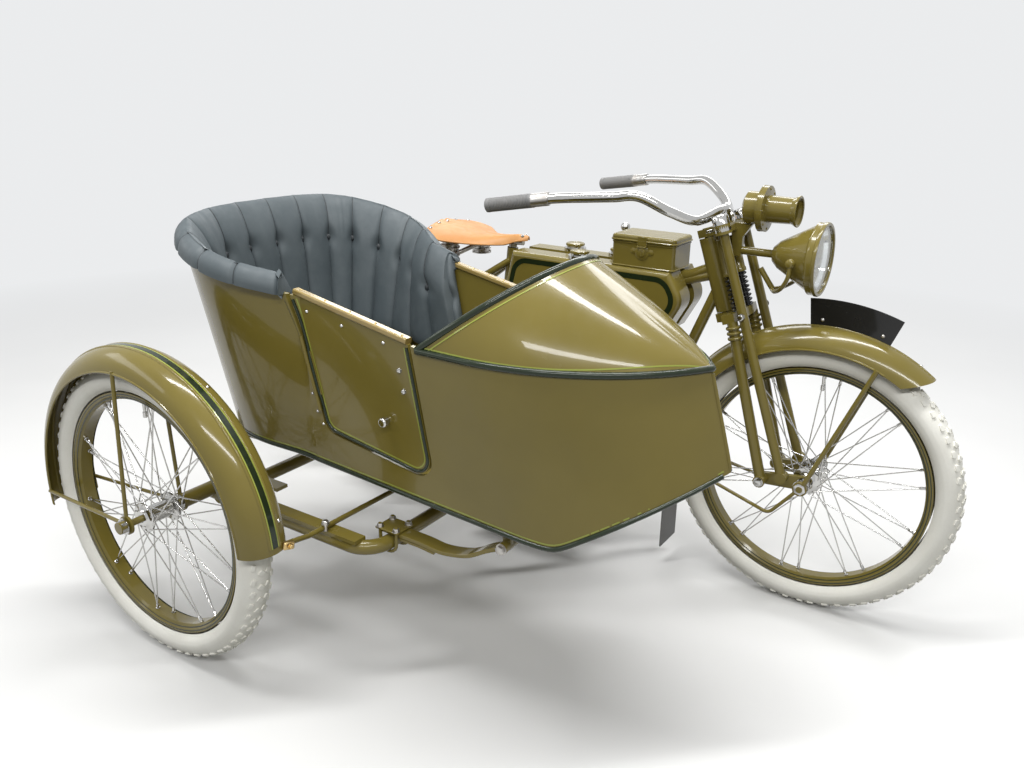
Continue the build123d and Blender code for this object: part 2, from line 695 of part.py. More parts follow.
with BuildPart() as door:
    add(full_hull.part)
    add(hull_space.part, mode=Mode.SUBTRACT)
    with BuildSketch(side_plane(car_y - 100)) as panel:
        with BuildLine():
            Polyline(*door_outline(0), close=True)
        make_face()
        fillet(panel.vertices().group_by(Axis.Z)[0], 36)
    extrude(panel.sketch, amount=400, mode=Mode.INTERSECT)
    with BuildSketch(Plane(origin=hinge_foot + upward * 100, x_dir=forward, z_dir=upward)) as bevel:
        with BuildLine():
            Polyline((0, 1), (11.5, -10.5), (0, -10.5), close=True)
        make_face()
    extrude(bevel.sketch, amount=100, mode=Mode.SUBTRACT)
    hinge_leaf(0, 14, seat_gap - 50, 50 - seat_gap, 0.6, 2.6)
    hinge_leaf(4, 14, seat_gap - 50, 50 - seat_gap, -1, 2)
    barrel(seat_gap - 50, 50 - seat_gap)
finish(door, "door")

# Door's knob, low down near its front edge
knob_at = (-666.0, 626.0)
with BuildPart() as door_knob:
    knob = Vector(*at(knob_at[0], car_y - half_width(knob_at[1]), knob_at[1])) + outward * seat_gap
    disc(knob, outward, 13, 12)
    disc(knob + outward * 10, outward, 21, 10)
    fillet(door_knob.faces().sort_by(Axis.Y)[0].edges(), 4)
finish(door_knob, "door_knob")

# Cowl: the peaked front deck, cut back to the cockpit's leaning arch
cowl_sheet = 6.0
cowl_back = -640.0


def cowl_section(x, inset=0.0):
    """The cowl's cross section at a station: two bulging sides that meet in a ridge."""
    tip = nose_tip(bead_height)
    shoulder = tip - sqrt(nose_bend_radius**2 - (nose_bend_radius - car_half_width) ** 2)
    if x <= shoulder:
        half = car_half_width
    else:
        half = car_half_width - nose_bend_radius + sqrt(nose_bend_radius**2 - (x - shoulder) ** 2)
    ridge = bead_height + (arch_top[1] - bead_height) * (x - tip) / (arch_top[0] - tip)
    half = half - inset
    ridge = ridge - inset * 1.2
    bulge = 0.16
    with BuildSketch(Plane(origin=at(x, car_y, 0), x_dir=(0, 1, 0), z_dir=(1, 0, 0))) as section:
        with BuildLine():
            rise = ridge - bead_height
            for side in (1, -1):
                middle = (side * (half / 2 + bulge * rise), bead_height + rise / 2 + bulge * half)
                ThreePointArc((0, ridge), middle, (side * half, bead_height))
            Line((half, bead_height), (-half, bead_height))
        make_face()
    return section.sketch


cowl_stations = (-640, -470, -300, -180, -100, -72)
with BuildPart() as car_cowl:
    loft(sections=[cowl_section(x) for x in cowl_stations], ruled=True)
    loft(sections=[cowl_section(x, cowl_sheet) for x in cowl_stations[:-1]], ruled=True, mode=Mode.SUBTRACT)
    plate(side_plane(car_y), ((-700, 700), (-700, 1300), (arch_top[0] + 257, arch_top[1] + 200),
                              arch_top, rail_front, (rail_front[0], 700)), car_wide, mode=Mode.SUBTRACT)
finish(car_cowl, "car_cowl")

# Trim: the beads on the cowl's seam and the arch's rim
bead = 7.0
with BuildPart() as arch_band:
    loft(sections=[cowl_section(x, -4) for x in cowl_stations[:4]], ruled=True)
    loft(sections=[cowl_section(x, 7) for x in cowl_stations[:4]], ruled=True, mode=Mode.SUBTRACT)
    plate(side_plane(car_y), (rail_front, arch_top, (arch_top[0] + 12, arch_top[1] + 9.4 - 14),
                              (rail_front[0] + 12, rail_front[1] - 5)), car_wide, mode=Mode.INTERSECT)

with BuildPart() as car_trim:
    tip = nose_tip(bead_height)
    shoulder = tip - sqrt(nose_bend_radius**2 - (nose_bend_radius - car_half_width) ** 2)
    for side in (1, -1):
        with BuildLine() as seam:
            Line(at(rail_front[0] + 4, car_y + side * car_half_width, bead_height),
                 at(shoulder, car_y + side * car_half_width, bead_height))
            RadiusArc(at(shoulder, car_y + side * car_half_width, bead_height), at(tip, car_y, bead_height),
                      side * nose_bend_radius)
        with BuildSketch(Plane(origin=seam.line @ 0, z_dir=seam.line % 0)) as section:
            Circle(bead)
        sweep(section.sketch, path=seam.line)
    add(arch_band.part)
    add(full_hull.part, mode=Mode.SUBTRACT)
    loft(sections=[cowl_section(x, -seat_gap) for x in cowl_stations], ruled=True, mode=Mode.SUBTRACT)
finish(car_trim, "car_trim")


rail_wide = 20.0
rail_thick = 13.0
far_back_front = -842.0    # where the padded back ends on the far side


def top_rail(side, x_from, x_to):
    """A flat rail on the body's top edge, between two stations."""
    a = Vector(*at(x_from, car_y + side * (half_width(rail_height(x_from)) - car_wall / 2), rail_height(x_from)))
    b = Vector(*at(x_to, car_y + side * (half_width(rail_height(x_to)) - car_wall / 2), rail_height(x_to)))
    lift = Vector(0, 0, rail_thick / 2 + seat_gap)
    with BuildSketch(Plane(origin=a + lift, x_dir=(0, 1, 0), z_dir=b - a)) as section:
        RectangleRounded(rail_wide, rail_thick, 4)
    extrude(section.sketch, amount=(b - a).length)


with BuildPart() as far_rail:
    top_rail(1, far_back_front + 3, -640)
finish(far_rail, "far_rail")

with BuildPart() as door_rail:
    top_rail(-1, 5 - door_rear_back, -2 - door_front_back)
finish(door_rail, "door_rail")

# Upholstery: the padded back with its roll along the top, and the seat on its box. On the door's side
# the back stops at the doorway, and on the far side it comes further forward.
pad = 62.0
roll_lift = 46.0
back_front = -5.0 - door_rear_back
back_end = -1400.0
pad_foot = 640.0


def tub_top(x):
    """Height of the tub's top edge behind the rails."""
    return rail_rear[1] + (rail_rear[0] - x) * (tub_rear_top - rail_rear[1]) / (tub_back + 60 + rail_rear[0])


def top_line(lift):
    """The tub's top edge in side view, from the back to the far rail, at a height above it."""
    return ((back_end, tub_top(back_end) + lift), (rail_rear[0], rail_rear[1] + lift),
            (far_back_front, rail_height(far_back_front) + lift))


with BuildPart() as back_hollow:
    hull(pad)
with BuildPart() as back_lining:
    hull(car_wall + 2 * seat_gap)
    plate(side_plane(car_y), (*top_line(1), (far_back_front + 60, pad_foot), (back_end, pad_foot)), car_wide,
          mode=Mode.INTERSECT)
with BuildPart() as back_roll:
    hull(-20)
    plate(side_plane(car_y), (*top_line(seat_gap), *reversed(top_line(roll_lift))), car_wide, mode=Mode.INTERSECT)

with BuildPart() as seat_back:
    add(back_lining.part)
    add(back_roll.part)
    add(back_hollow.part, mode=Mode.SUBTRACT)
    plate(side_plane(car_y - car_wide / 4),
          ((back_front, 1000), (back_front, rail_rear[1]),
           (back_front + (rail_rear[1] - pad_foot + 20) * door_rear_lean, pad_foot - 20), (-600, pad_foot - 20),
           (-600, 1000)), car_wide / 2, mode=Mode.SUBTRACT)
finish(seat_back, "seat_back")

seat_top = 650.0
seat_front = -790.0
with BuildPart() as above_floor:
    hull(0)
    plate(side_plane(car_y), ((-300, floor_height(-300) + car_wall + seat_gap), (-300, 900), (-1400, 900),
                              (-1400, floor_height(-1400) + car_wall + seat_gap)), car_wide,
          mode=Mode.INTERSECT)
with BuildPart() as seat_box:
    hull(car_wall + seat_gap)
    plate(side_plane(car_y), ((seat_front - 20, 470), (seat_front - 20, seat_top - 110), (-1230, seat_top - 110),
                              (-1230, 520)), car_wide, mode=Mode.INTERSECT)
    add(above_floor.part, mode=Mode.INTERSECT)
finish(seat_box, "seat_box")

with BuildPart() as seat_cushion:
    hull(pad + 3)
    plate(side_plane(car_y), ((seat_front, seat_top - 109.5), (seat_front, seat_top - 6), (-1300, seat_top - 10),
                              (-1300, seat_top - 109.5)), car_wide, mode=Mode.INTERSECT)
finish(seat_cushion, "seat_cushion")

# Lines of the sidecar's chassis: its two side tubes, their height and the front cross tube
chassis_tube = 34.0
near_y = 179.0 - track
far_y = 262.0 - car_offset
chassis_height = 325.0
chassis_front = -690.0
chassis_top = chassis_height + chassis_tube / 2
runner = 7.0

# Sidecar wheel's mudguard with its stays, one of which crosses over the chassis tubes
cross_x = -812.0
cross_stay = 12.0
with BuildPart() as side_guard:
    guard(-side_wheel_back, -track, 3, 190)
    for side, reach in ((-1, 78), (1, 62)):
        for angle in (92, 184):
            rod([at(-side_wheel_back + 14 * cos(radians(angle)), -track + side * reach,
                    tyre_radius + 14 * sin(radians(angle))),
                 round_point(-side_wheel_back, -track + side * 56, 350, angle)], stay)
        disc(at(-side_wheel_back, -track + side * (reach - 3), tyre_radius), (0, side, 0), 44, 6,
             bore=axle_diameter + 2 * seat_gap)
    rest = chassis_top + seat_gap + cross_stay / 2
    rod([round_point(-side_wheel_back, -track + 30, 384, 4), at(cross_x, near_y - 60, rest + runner),
         at(cross_x, near_y, rest + runner), at(cross_x, far_y, rest)], cross_stay, 20)
finish(side_guard, "side_guard")

# Sidecar chassis: the tube round the body, the cross tubes and the arms to the motorcycle


def clamp(centre, direction, tube_diameter, length):
    """A clip round a tube of the motorcycle's frame."""
    along = Vector(*direction).normalized()
    start = Vector(*centre) - along * (length / 2)
    disc(start, along, tube_diameter + 24, length)
    disc(start - along * 20, along, tube_diameter + 2 * seat_gap, length + 40, mode=Mode.SUBTRACT)


with BuildPart() as chassis:
    rod([at(-side_wheel_back - 60, near_y, chassis_height), at(chassis_front, near_y, chassis_height),
         at(chassis_front, far_y + 20, chassis_height)], chassis_tube, 60)
    rod([at(chassis_front, far_y, chassis_height), at(-side_wheel_back, far_y, chassis_height)], chassis_tube)
    plate(side_plane(near_y), ((-side_wheel_back + 30, chassis_top - 2), (chassis_front - 30, chassis_top - 2),
                               (chassis_front - 30, chassis_top + runner),
                               (-side_wheel_back + 30, chassis_top + runner)), chassis_tube)
    rod([at(-side_wheel_back, near_y - 15, chassis_height), at(-side_wheel_back, -130, chassis_height)],
        chassis_tube)
    disc(at(-side_wheel_back, -track, tyre_radius), (0, -1, 0), axle_diameter, 96)
    disc(at(-side_wheel_back, -track, tyre_radius), (0, 1, 0), axle_diameter, 110)
    disc(at(-side_wheel_back, -track + 68, tyre_radius), (0, 1, 0), 36, 108)
    disc(at(-side_wheel_back, -track - 82, tyre_radius), (0, -1, 0), 28, 18)
    plate(Plane(origin=at(0, near_y, 0), x_dir=(1, 0, 0), z_dir=(0, -1, 0)),
          ((-side_wheel_back - 26, chassis_height - 15), (-side_wheel_back + 26, chassis_height - 15),
           (-side_wheel_back + 26, tyre_radius + 16), (-side_wheel_back - 26, tyre_radius + 16)), 16)
    rod([at(chassis_front, far_y, chassis_height), at(-590, -250, chassis_height), at(-448, -22, 392)], 30, 60)
    clamp(at(-443.1, 0, 400), (187, 0, 486.9), tube, 36)
    rod([at(-930, far_y, chassis_height), at(-930, -20, 700)], 22)
    clamp(at(-929.9, 0, 700), (68, 0, 666), tube + 4, 40)
    rod([at(-side_wheel_back, -136, chassis_height), at(-side_wheel_back, -99, 236)], 22)
    clamp(at(-side_wheel_back, -90.2, 221.5), (-401, -8, 159.6), 20, 30)
finish(chassis, "chassis")


def strap(points, width, thickness, bend):
    """A flat bar bent through points that share one side view."""
    with BuildLine() as path:
        FilletPolyline(*points, radius=bend)
    with BuildSketch(Plane(origin=path.line @ 0, x_dir=(0, 1, 0), z_dir=path.line % 0)) as section:
        Rectangle(width, thickness)
    sweep(section.sketch, path=path.line)


leaf = 9.0
leaf_seat = chassis_top + seat_gap + leaf / 2
with BuildPart() as car_springs:
    for y in (car_y - 194, car_y + 194):
        strap([at(-716, y, leaf_seat), at(-600, y, leaf_seat), at(-520, y, leaf_seat - 4), at(-386, y, 408)],
              36, leaf, 60)
        disc(at(-386, y - 24, 408), (0, 1, 0), 24, 48)
        plate(side_plane(y), ((-398, 402), (-374, 402), (-374, floor_height(-374) - seat_gap),
                              (-398, floor_height(-398) - seat_gap)), 12)
        strap([at(-1050, y, leaf_seat), at(-1250, y, leaf_seat), at(-1330, y, 430),
               at(-1190, y, floor_height(-1190) - leaf / 2 - 2 * seat_gap),
               at(-1060, y, floor_height(-1060) - leaf / 2 - 2 * seat_gap)], 36, leaf, 30)
finish(car_springs, "car_springs")

# Fork: stem, crowns, rigid legs, rockers and the wheel's axle
fork_half = 74.0
leg_top = (-218.0, 742.0)
leg_foot = (-104.0, 345.0)
rocker_y = (46.0, 60.0)
spring_forward = 66.5
horn_height = 1012.0
horn_radius = 39.0
horn_seat = horn_height - horn_radius - seat_gap
lamp_seat = -236.0
spring_leg = 24.0
with BuildPart() as fork:
    disc(steer(-24), down, stem_diameter, head_length + 44)
    disc(steer(head_length + 2), down, head_diameter, 24)
    disc(steer(-22), down, head_diameter - 10, 20)
    plate(Plane(origin=steer(head_length + 14), x_dir=(0, 1, 0), z_dir=down),
          ((-fork_half - 10, 14), (-fork_half - 10, 46), (-30, 52), (30, 52), (fork_half + 10, 46),
           (fork_half + 10, 14), (30, 6), (24, -24), (-24, -24), (-30, 6)), 22)
    plate(Plane(origin=steer(-12), x_dir=(0, 1, 0), z_dir=down),
          ((-fork_half, 56), (-fork_half, 76), (fork_half, 76), (fork_half, 56), (22, 30), (22, -20), (-22, -20),
           (-22, 30)), 20)
    plate(side_plane(0), ((-266, 950), (-262, horn_seat), (-214, horn_seat), (lamp_seat, 940), (lamp_seat, 892),
                          (lamp_seat - 20, 892)), 14)
    for side in (1, -1):
        disc(steer(-24, spring_forward, side * fork_half), down, 42, 24)
        disc(steer(-30, spring_forward, side * fork_half), down, spring_leg + 2 * seat_gap, 40,
             mode=Mode.SUBTRACT)
    for side in (1, -1):
        rod([at(leg_top[0], side * fork_half, leg_top[1]), at(leg_foot[0], side * fork_half, leg_foot[1])], 27)
        disc(at(leg_foot[0], side * rocker_y[0], leg_foot[1]), (0, side, 0), 30, fork_half - rocker_y[0] + 16)
        plate(side_plane(side * (rocker_y[0] + rocker_y[1]) / 2),
              ((leg_foot[0], 330), (0, 338), (14, 356), (0, 374), (leg_foot[0], 360)),
              rocker_y[1] - rocker_y[0])
    disc(at(0, -100, tyre_radius), (0, 1, 0), axle_diameter, 200)
finish(fork, "fork")

# Spring fork: the slim front legs with their plated caps, hung from the rockers
spring_length = 622.0
with BuildPart() as spring_fork:
    for side in (1, -1):
        disc(steer(-30, spring_forward, side * fork_half), down, spring_leg, spring_length + 30)
        disc(steer(-30, spring_forward, side * fork_half), down * -1, spring_leg + 6, 16)
        disc(steer(spring_length, spring_forward, side * (rocker_y[1] + seat_gap)), (0, side, 0), 30, 26)
finish(spring_fork, "spring_fork")

# Handlebar and its grips
bar_diameter = 25.4
bar_curve = ((-294, 0, 1002), (-318, 105, 984), (-361, 172, 1008), (-425, 212, 1042))
bar_bend = (-614, 271, 1029)
bar_end = (-796, 306, 999)
bare_start = 40.0
bare_length = 120.0
with BuildPart() as handlebar:
    for side in (1, -1):
        curve = [Vector(*at(x, side * y, z)) for x, y, z in bar_curve]
        bend_point = Vector(*at(bar_bend[0], side * bar_bend[1], bar_bend[2]))
        run = (bend_point - curve[-1]).normalized()
        bare = curve[-1] + run * bare_start
        with BuildLine() as bow:
            Spline(*curve, bare, tangents=[(0, side, 0), run])
        with BuildSketch(Plane(origin=bow.line @ 0, z_dir=bow.line % 0)) as section:
            Circle(bar_diameter / 2)
        sweep(section.sketch, path=bow.line)
        disc(bare, run, bar_diameter, bare_length)
        rod([bare + run * bare_length, bend_point, Vector(*at(bar_end[0], side * bar_end[1], bar_end[2]))],
            bar_diameter, 60)
    disc(steer(-22.3, 50), down * -1, 40, 34)
finish(handlebar, "handlebar")

with BuildPart() as grips:
    for side in (1, -1):
        a = Vector(*at(bar_bend[0], side * bar_bend[1], bar_bend[2]))
        b = Vector(*at(bar_end[0], side * bar_end[1], bar_end[2]))
        run = (b - a).normalized()
        start = a + (b - a) * 0.1
        disc(start, run, 36, (b - start).length + 6, bore=bar_diameter + 2 * seat_gap)
        disc(b + run * seat_gap, run, 34, 6 + seat_gap)
finish(grips, "grips")

# Headlamp, its lens and its arm
lamp_height = 906.0
lamp_back = -156.0
lamp_front = -36.0
with BuildPart() as headlamp:
    turned(at(0, 0, lamp_height),
           ((lamp_back, 0), (lamp_back, 20), (lamp_back + 14, 34), (lamp_front - 26, 80), (lamp_front - 20, 86),
            (lamp_front, 86), (lamp_front, 80), (lamp_front - 16, 78), (lamp_back + 26, 30), (lamp_back + 26, 0)),
           direction=(1, 0, 0))
    rod([at(lamp_back + 4, 0, lamp_height), at(lamp_seat + seat_gap, 0, lamp_height)], 20)
finish(headlamp, "headlamp")

with BuildPart() as lamp_lens:
    disc(at(lamp_front - 8, 0, lamp_height), (1, 0, 0), 158 - 2 * seat_gap, 4)
finish(lamp_lens, "lamp_lens")

# Horn above the lamp
with BuildPart() as horn:
    turned(at(0, 0, horn_height),
           ((-244, 0), (-238, 30), (-232, horn_radius), (-198, horn_radius), (-196, 55), (-182, 55), (-180, 33),
            (-122, 31), (-112, 36), (-108, 36), (-118, 27), (-176, 27), (-176, 0)), direction=(1, 0, 0))
finish(horn, "horn")

# Front mudguard with its stays, its flap and the blank plate on its crown
flap_x = -369.0
with BuildPart() as front_guard:
    guard(0, 0, 50, 200)
    plate(side_plane(0), ((150, 636), (300, 677), (300, 500), (150, 500)), 200, mode=Mode.SUBTRACT)
    for side in (1, -1):
        rod([at(8, side * 92, tyre_radius + 14), at(128, side * 57, 678)], stay + 3)
        rod([at(-10, side * 92, tyre_radius - 12), at(-70, side * 90, 268), at(-335, side * 57, 330)], stay, 24)
        disc(at(0, side * 88, tyre_radius), (0, side, 0), 36, 8, bore=axle_diameter + 2 * seat_gap)
    plate(side_plane(0), ((flap_x, 236), (flap_x, 182), (flap_x + 3, 182), (flap_x + 3, 236)), 96)
finish(front_guard, "front_guard")

with BuildPart() as mud_flap:
    plate(side_plane(0), ((flap_x - seat_gap, 212), (flap_x - seat_gap, 54), (flap_x - seat_gap - 4, 54),
                          (flap_x - seat_gap - 4, 212)), 100)
finish(mud_flap, "mud_flap")

with BuildPart() as number_plate:
    start_deg, sweep_deg = 69.5, 27.5
    plate_height = 66.0
    outward = Vector(cos(radians(start_deg)), 0, sin(radians(start_deg)))
    with BuildSketch(Plane(origin=at(0, 0, tyre_radius), x_dir=(0, 1, 0),
                           z_dir=Vector(0, 1, 0).cross(outward))) as section:
        with Locations((0, guard_crown_radius + seat_gap + plate_height / 2)):
            Rectangle(2.5, plate_height)
    revolve(section.sketch, axis=Axis(at(0, 0, tyre_radius), (0, -1, 0)), revolution_arc=sweep_deg)
finish(number_plate, "number_plate")
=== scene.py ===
# Looks of an early olive motorcycle with a boat-nosed sidecar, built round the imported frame.
# Lengths in the tables are millimetres from the ground under the front axle, in the motorcycle's
# middle plane: forward, to the rider's left, up. place() turns them into the frame's metres.
import math

import bmesh
import bpy
from mathutils import Matrix, Vector, noise
from mathutils.bvhtree import BVHTree
from mathutils.geometry import tessellate_polygon
from mathutils.kdtree import KDTree


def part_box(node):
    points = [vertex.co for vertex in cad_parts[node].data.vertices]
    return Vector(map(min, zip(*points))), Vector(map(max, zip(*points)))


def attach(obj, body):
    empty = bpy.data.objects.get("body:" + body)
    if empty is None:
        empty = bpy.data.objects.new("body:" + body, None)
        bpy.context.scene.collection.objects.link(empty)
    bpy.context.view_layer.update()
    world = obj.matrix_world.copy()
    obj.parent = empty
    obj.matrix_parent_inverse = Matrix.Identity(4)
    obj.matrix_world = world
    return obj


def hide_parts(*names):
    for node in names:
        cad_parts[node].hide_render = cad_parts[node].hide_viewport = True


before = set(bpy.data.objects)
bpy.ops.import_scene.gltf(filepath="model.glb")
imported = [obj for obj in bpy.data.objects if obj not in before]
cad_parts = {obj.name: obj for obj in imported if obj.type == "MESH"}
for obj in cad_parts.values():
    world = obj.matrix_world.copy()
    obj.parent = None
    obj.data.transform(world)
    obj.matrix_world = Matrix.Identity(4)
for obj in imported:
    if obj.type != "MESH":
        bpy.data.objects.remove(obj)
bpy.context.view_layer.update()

bl_info = {
    "name": "Olive Motorcycle and Sidecar",
    "version": (1, 0, 0),
    "blender": (4, 5, 0),
    "location": "3D View > Sidebar > Sidecar",
    "description": "Dresses the packed frame of a motorcycle and sidecar in its finishes and fine parts",
    "category": "Add Mesh",
}

ORIGIN_BACK = 784.0
ORIGIN_RIGHT = 420.0
TYRE_RADIUS = 355.6
TYRE_SECTION = 38.0
WHEELS = {"front": (0.0, 0.0), "rear": (-1511.0, 0.0), "side": (-1174.0, -1064.0)}
CAR_Y = -612.0
RAKE = math.radians(19.5)


def place(x, y, z):
    """A point measured from the ground under the front axle, in the frame's metres."""
    return Vector(((ORIGIN_BACK + x) / 1000, (ORIGIN_RIGHT + y) / 1000, z / 1000))


DOWN = Vector((math.sin(RAKE), 0, -math.cos(RAKE)))
AHEAD = Vector((math.cos(RAKE), 0, math.sin(RAKE)))
HEAD = place(-323, 0, 930)


def steer(along, forward=0.0, left=0.0):
    """A point by its millimetres down the steering axis, ahead of it and to its left."""
    return HEAD + (DOWN * along + AHEAD * forward) / 1000 + Vector((0, left / 1000, 0))


# Meshes

SHARP_ANGLE = math.radians(38)


def even_angles(count):
    """The angles of a count of even steps round a circle."""
    return [math.tau * i / count for i in range(count)]


class Shape:
    """Vertices and faces gathered before they become one mesh."""

    def __init__(self):
        self.points = []
        self.faces = []

    def add(self, points, faces):
        """Take in a set of points and the faces that join them."""
        start = len(self.points)
        self.points.extend(Vector(p) for p in points)
        self.faces.extend(tuple(start + i for i in face) for face in faces)
        return self

    def grid(self, rows, closed_u=False, closed_v=False):
        """Quads between rows of equal length."""
        count, width = len(rows), len(rows[0])
        faces = []
        for i in range(count if closed_u else count - 1):
            for j in range(width if closed_v else width - 1):
                a, b = i * width, ((i + 1) % count) * width
                k = (j + 1) % width
                faces.append((a + j, a + k, b + k, b + j))
        return self.add([p for row in rows for p in row], faces)

    def fan(self, ring, centre, flip=False):
        """Triangles from a ring to its middle."""
        n = len(ring)
        faces = [(i, (i + 1) % n, n) if not flip else ((i + 1) % n, i, n) for i in range(n)]
        return self.add(list(ring) + [centre], faces)

    def lathe(self, centre, axis, profile, segments=32):
        """Turn a profile of (along, radius) millimetres about an axis through the centre."""
        axis = Vector(axis).normalized()
        across = axis.orthogonal().normalized()
        side = axis.cross(across)
        rows = []
        for a in even_angles(segments):
            out = across * math.cos(a) + side * math.sin(a)
            rows.append([Vector(centre) + (axis * along + out * radius) / 1000 for along, radius in profile])
        return self.grid(rows, closed_u=True)

    def tube(self, points, radius, sides=12, closed=False):
        """A round tube along points in metres, with a radius in millimetres or one for each point."""
        points = [Vector(p) for p in points]
        n = len(points)
        radii = radius if isinstance(radius, (list, tuple)) else [radius] * n
        rings = []
        normal = None
        for i, p in enumerate(points):
            before = points[(i - 1) % n] if closed or i > 0 else p
            after = points[(i + 1) % n] if closed or i < n - 1 else p
            along = (after - before).normalized()
            if normal is None:
                normal = along.orthogonal().normalized()
            normal = (normal - along * normal.dot(along)).normalized()
            side = along.cross(normal)
            r = radii[i] / 1000
            rings.append([p + normal * (r * math.cos(a)) + side * (r * math.sin(a))
                          for a in even_angles(sides)])
        self.grid(rings, closed_u=closed, closed_v=True)
        if not closed:
            self.fan(rings[0], points[0], flip=True)
            self.fan(rings[-1], points[-1])
        return self

    def block(self, centre, x_dir, y_dir, size, chamfer=0.0):
        """A block of size in millimetres with chamfered edges, turned to two directions."""
        x_dir = Vector(x_dir).normalized()
        y_dir = (Vector(y_dir) - x_dir * Vector(y_dir).dot(x_dir)).normalized()
        z_dir = x_dir.cross(y_dir)
        hx, hy, hz = (s / 2000 for s in size)
        c = chamfer / 1000
        rows = []
        for z, inset in ((-hz, c), (-hz + c, 0), (hz - c, 0), (hz, c)):
            x, y = hx - inset, hy - inset
            outline = ((x, -y + c), (x, y - c), (x - c, y), (-x + c, y), (-x, y - c), (-x, -y + c),
                       (-x + c, -y), (x - c, -y))
            rows.append([Vector(centre) + x_dir * a + y_dir * b + z_dir * z for a, b in outline])
        self.grid(rows, closed_v=True)
        self.fan(rows[0], sum(rows[0], Vector()) / 8, flip=True)
        self.fan(rows[-1], sum(rows[-1], Vector()) / 8)
        return self

    def bolt(self, centre, axis, across=11.0, height=6.0):
        """A six-sided bolt head with a chamfered crown, on its washer."""
        self.lathe(centre, axis, ((0, 0), (0, across * 0.72), (1.4, across * 0.72), (1.4, 0)), 20)
        self.lathe(centre, axis, ((1.0, across * 0.577), (height - 1, across * 0.577),
                                  (height, across * 0.47), (height, 0)), 6)
        return self

    def rivet(self, centre, axis, radius=3.0):
        """A low domed rivet head."""
        self.lathe(centre, axis, ((-1, radius), (0.3, radius), (0.62 * radius, radius * 0.72),
                                  (0.82 * radius, radius * 0.3), (0.85 * radius, 0)), 14)
        return self

    def build(self, name, body, slot, finish, merge=0.0):
        """Make the object, give it its finish and let it ride on its body."""
        mesh = bpy.data.meshes.new(name)
        mesh.from_pydata(self.points, [], self.faces)
        mesh.validate()
        if merge:
            weld(mesh, merge)
        obj = bpy.data.objects.new(name, mesh)
        bpy.context.scene.collection.objects.link(obj)
        mesh.shade_smooth()
        mesh.set_sharp_from_angle(angle=SHARP_ANGLE)
        mesh.materials.append(MATERIALS[finish])
        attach(obj, body)
        return obj


def weld(mesh, distance):
    """Join the points of a mesh that lie on each other, and turn its faces outwards."""
    work = bmesh.new()
    work.from_mesh(mesh)
    bmesh.ops.remove_doubles(work, verts=work.verts, dist=distance / 1000)
    bmesh.ops.recalc_face_normals(work, faces=work.faces)
    work.to_mesh(mesh)
    work.free()


def smooth_path(points, per_run=8):
    """A smooth curve through the points."""
    points = [Vector(p) for p in points]
    n = len(points)
    made = []
    for i in range(n - 1):
        p1, p2 = points[i], points[i + 1]
        p0 = points[i - 1] if i > 0 else p1 * 2 - p2
        p3 = points[i + 2] if i + 2 < n else p2 * 2 - p1
        for k in range(per_run):
            t = k / per_run
            made.append(0.5 * ((2 * p1) + (p2 - p0) * t + (2 * p0 - 5 * p1 + 4 * p2 - p3) * t * t
                               + (3 * p1 - p0 - 3 * p2 + p3) * t * t * t))
    return made + [points[-1]]


def spring_points(start, end, radius, turns, per_turn=14):
    """A coil's centre line between two points, with a radius in millimetres."""
    start, end = Vector(start), Vector(end)
    axis = (end - start).normalized()
    across = axis.orthogonal().normalized()
    side = axis.cross(across)
    count = int(turns * per_turn)
    made = []
    for i in range(count + 1):
        t = i / count
        a = math.tau * turns * t
        made.append(start + (end - start) * t + (across * math.cos(a) + side * math.sin(a)) * radius / 1000)
    return made


def mesh_tree(mesh):
    """The faces of a mesh, ready for points to be laid on them."""
    return BVHTree.FromPolygons([v.co.copy() for v in mesh.vertices],
                                [tuple(p.vertices) for p in mesh.polygons])


def lay_on(tree, point, direction, reach=0.4):
    """Where a line from the point meets the faces, with the face's direction, or None."""
    direction = Vector(direction).normalized()
    hit, normal, _, _ = tree.ray_cast(Vector(point), direction, reach)
    if hit is None:
        return None
    if normal.dot(direction) > 0:
        normal = -normal
    return hit, normal


def ribbon(shape, path, normals, width, lift, thickness=0.6):
    """A thin painted or rolled band that follows a path on a surface, in millimetres."""
    left, right = [], []
    n = len(path)
    for i, p in enumerate(path):
        along = (path[min(i + 1, n - 1)] - path[max(i - 1, 0)]).normalized()
        side = along.cross(normals[i]).normalized() * (width / 2000)
        up = normals[i] * (lift / 1000)
        left.append(p + up - side)
        right.append(p + up + side)
    under = [normal * (thickness / 1000) for normal in normals]
    shape.grid([[left[i] - under[i], left[i], right[i], right[i] - under[i]] for i in range(n)])


# Materials

COLOUR_IN = (0.2, 0.2, 0.2, 1.0)


def new_group(name, colours, numbers):
    """A shader node group that takes a place, colours and numbers and gives a skin, and its two ends."""
    tree = bpy.data.node_groups.new(name, "ShaderNodeTree")
    inputs = [("Vector", "Vector", (0, 0, 0))]
    inputs += [(label, "Color", COLOUR_IN) for label in colours]
    inputs += [(label, "Float", value) for label, value in numbers.items()]
    for label, kind, value in inputs:
        socket = tree.interface.new_socket(name=label, in_out="INPUT", socket_type="NodeSocket" + kind)
        socket.default_value = value
    for label, kind in (("Color", "Color"), ("Roughness", "Float"), ("Height", "Float")):
        tree.interface.new_socket(name=label, in_out="OUTPUT", socket_type="NodeSocket" + kind)
    return tree, tree.nodes.new("NodeGroupInput"), tree.nodes.new("NodeGroupOutput")


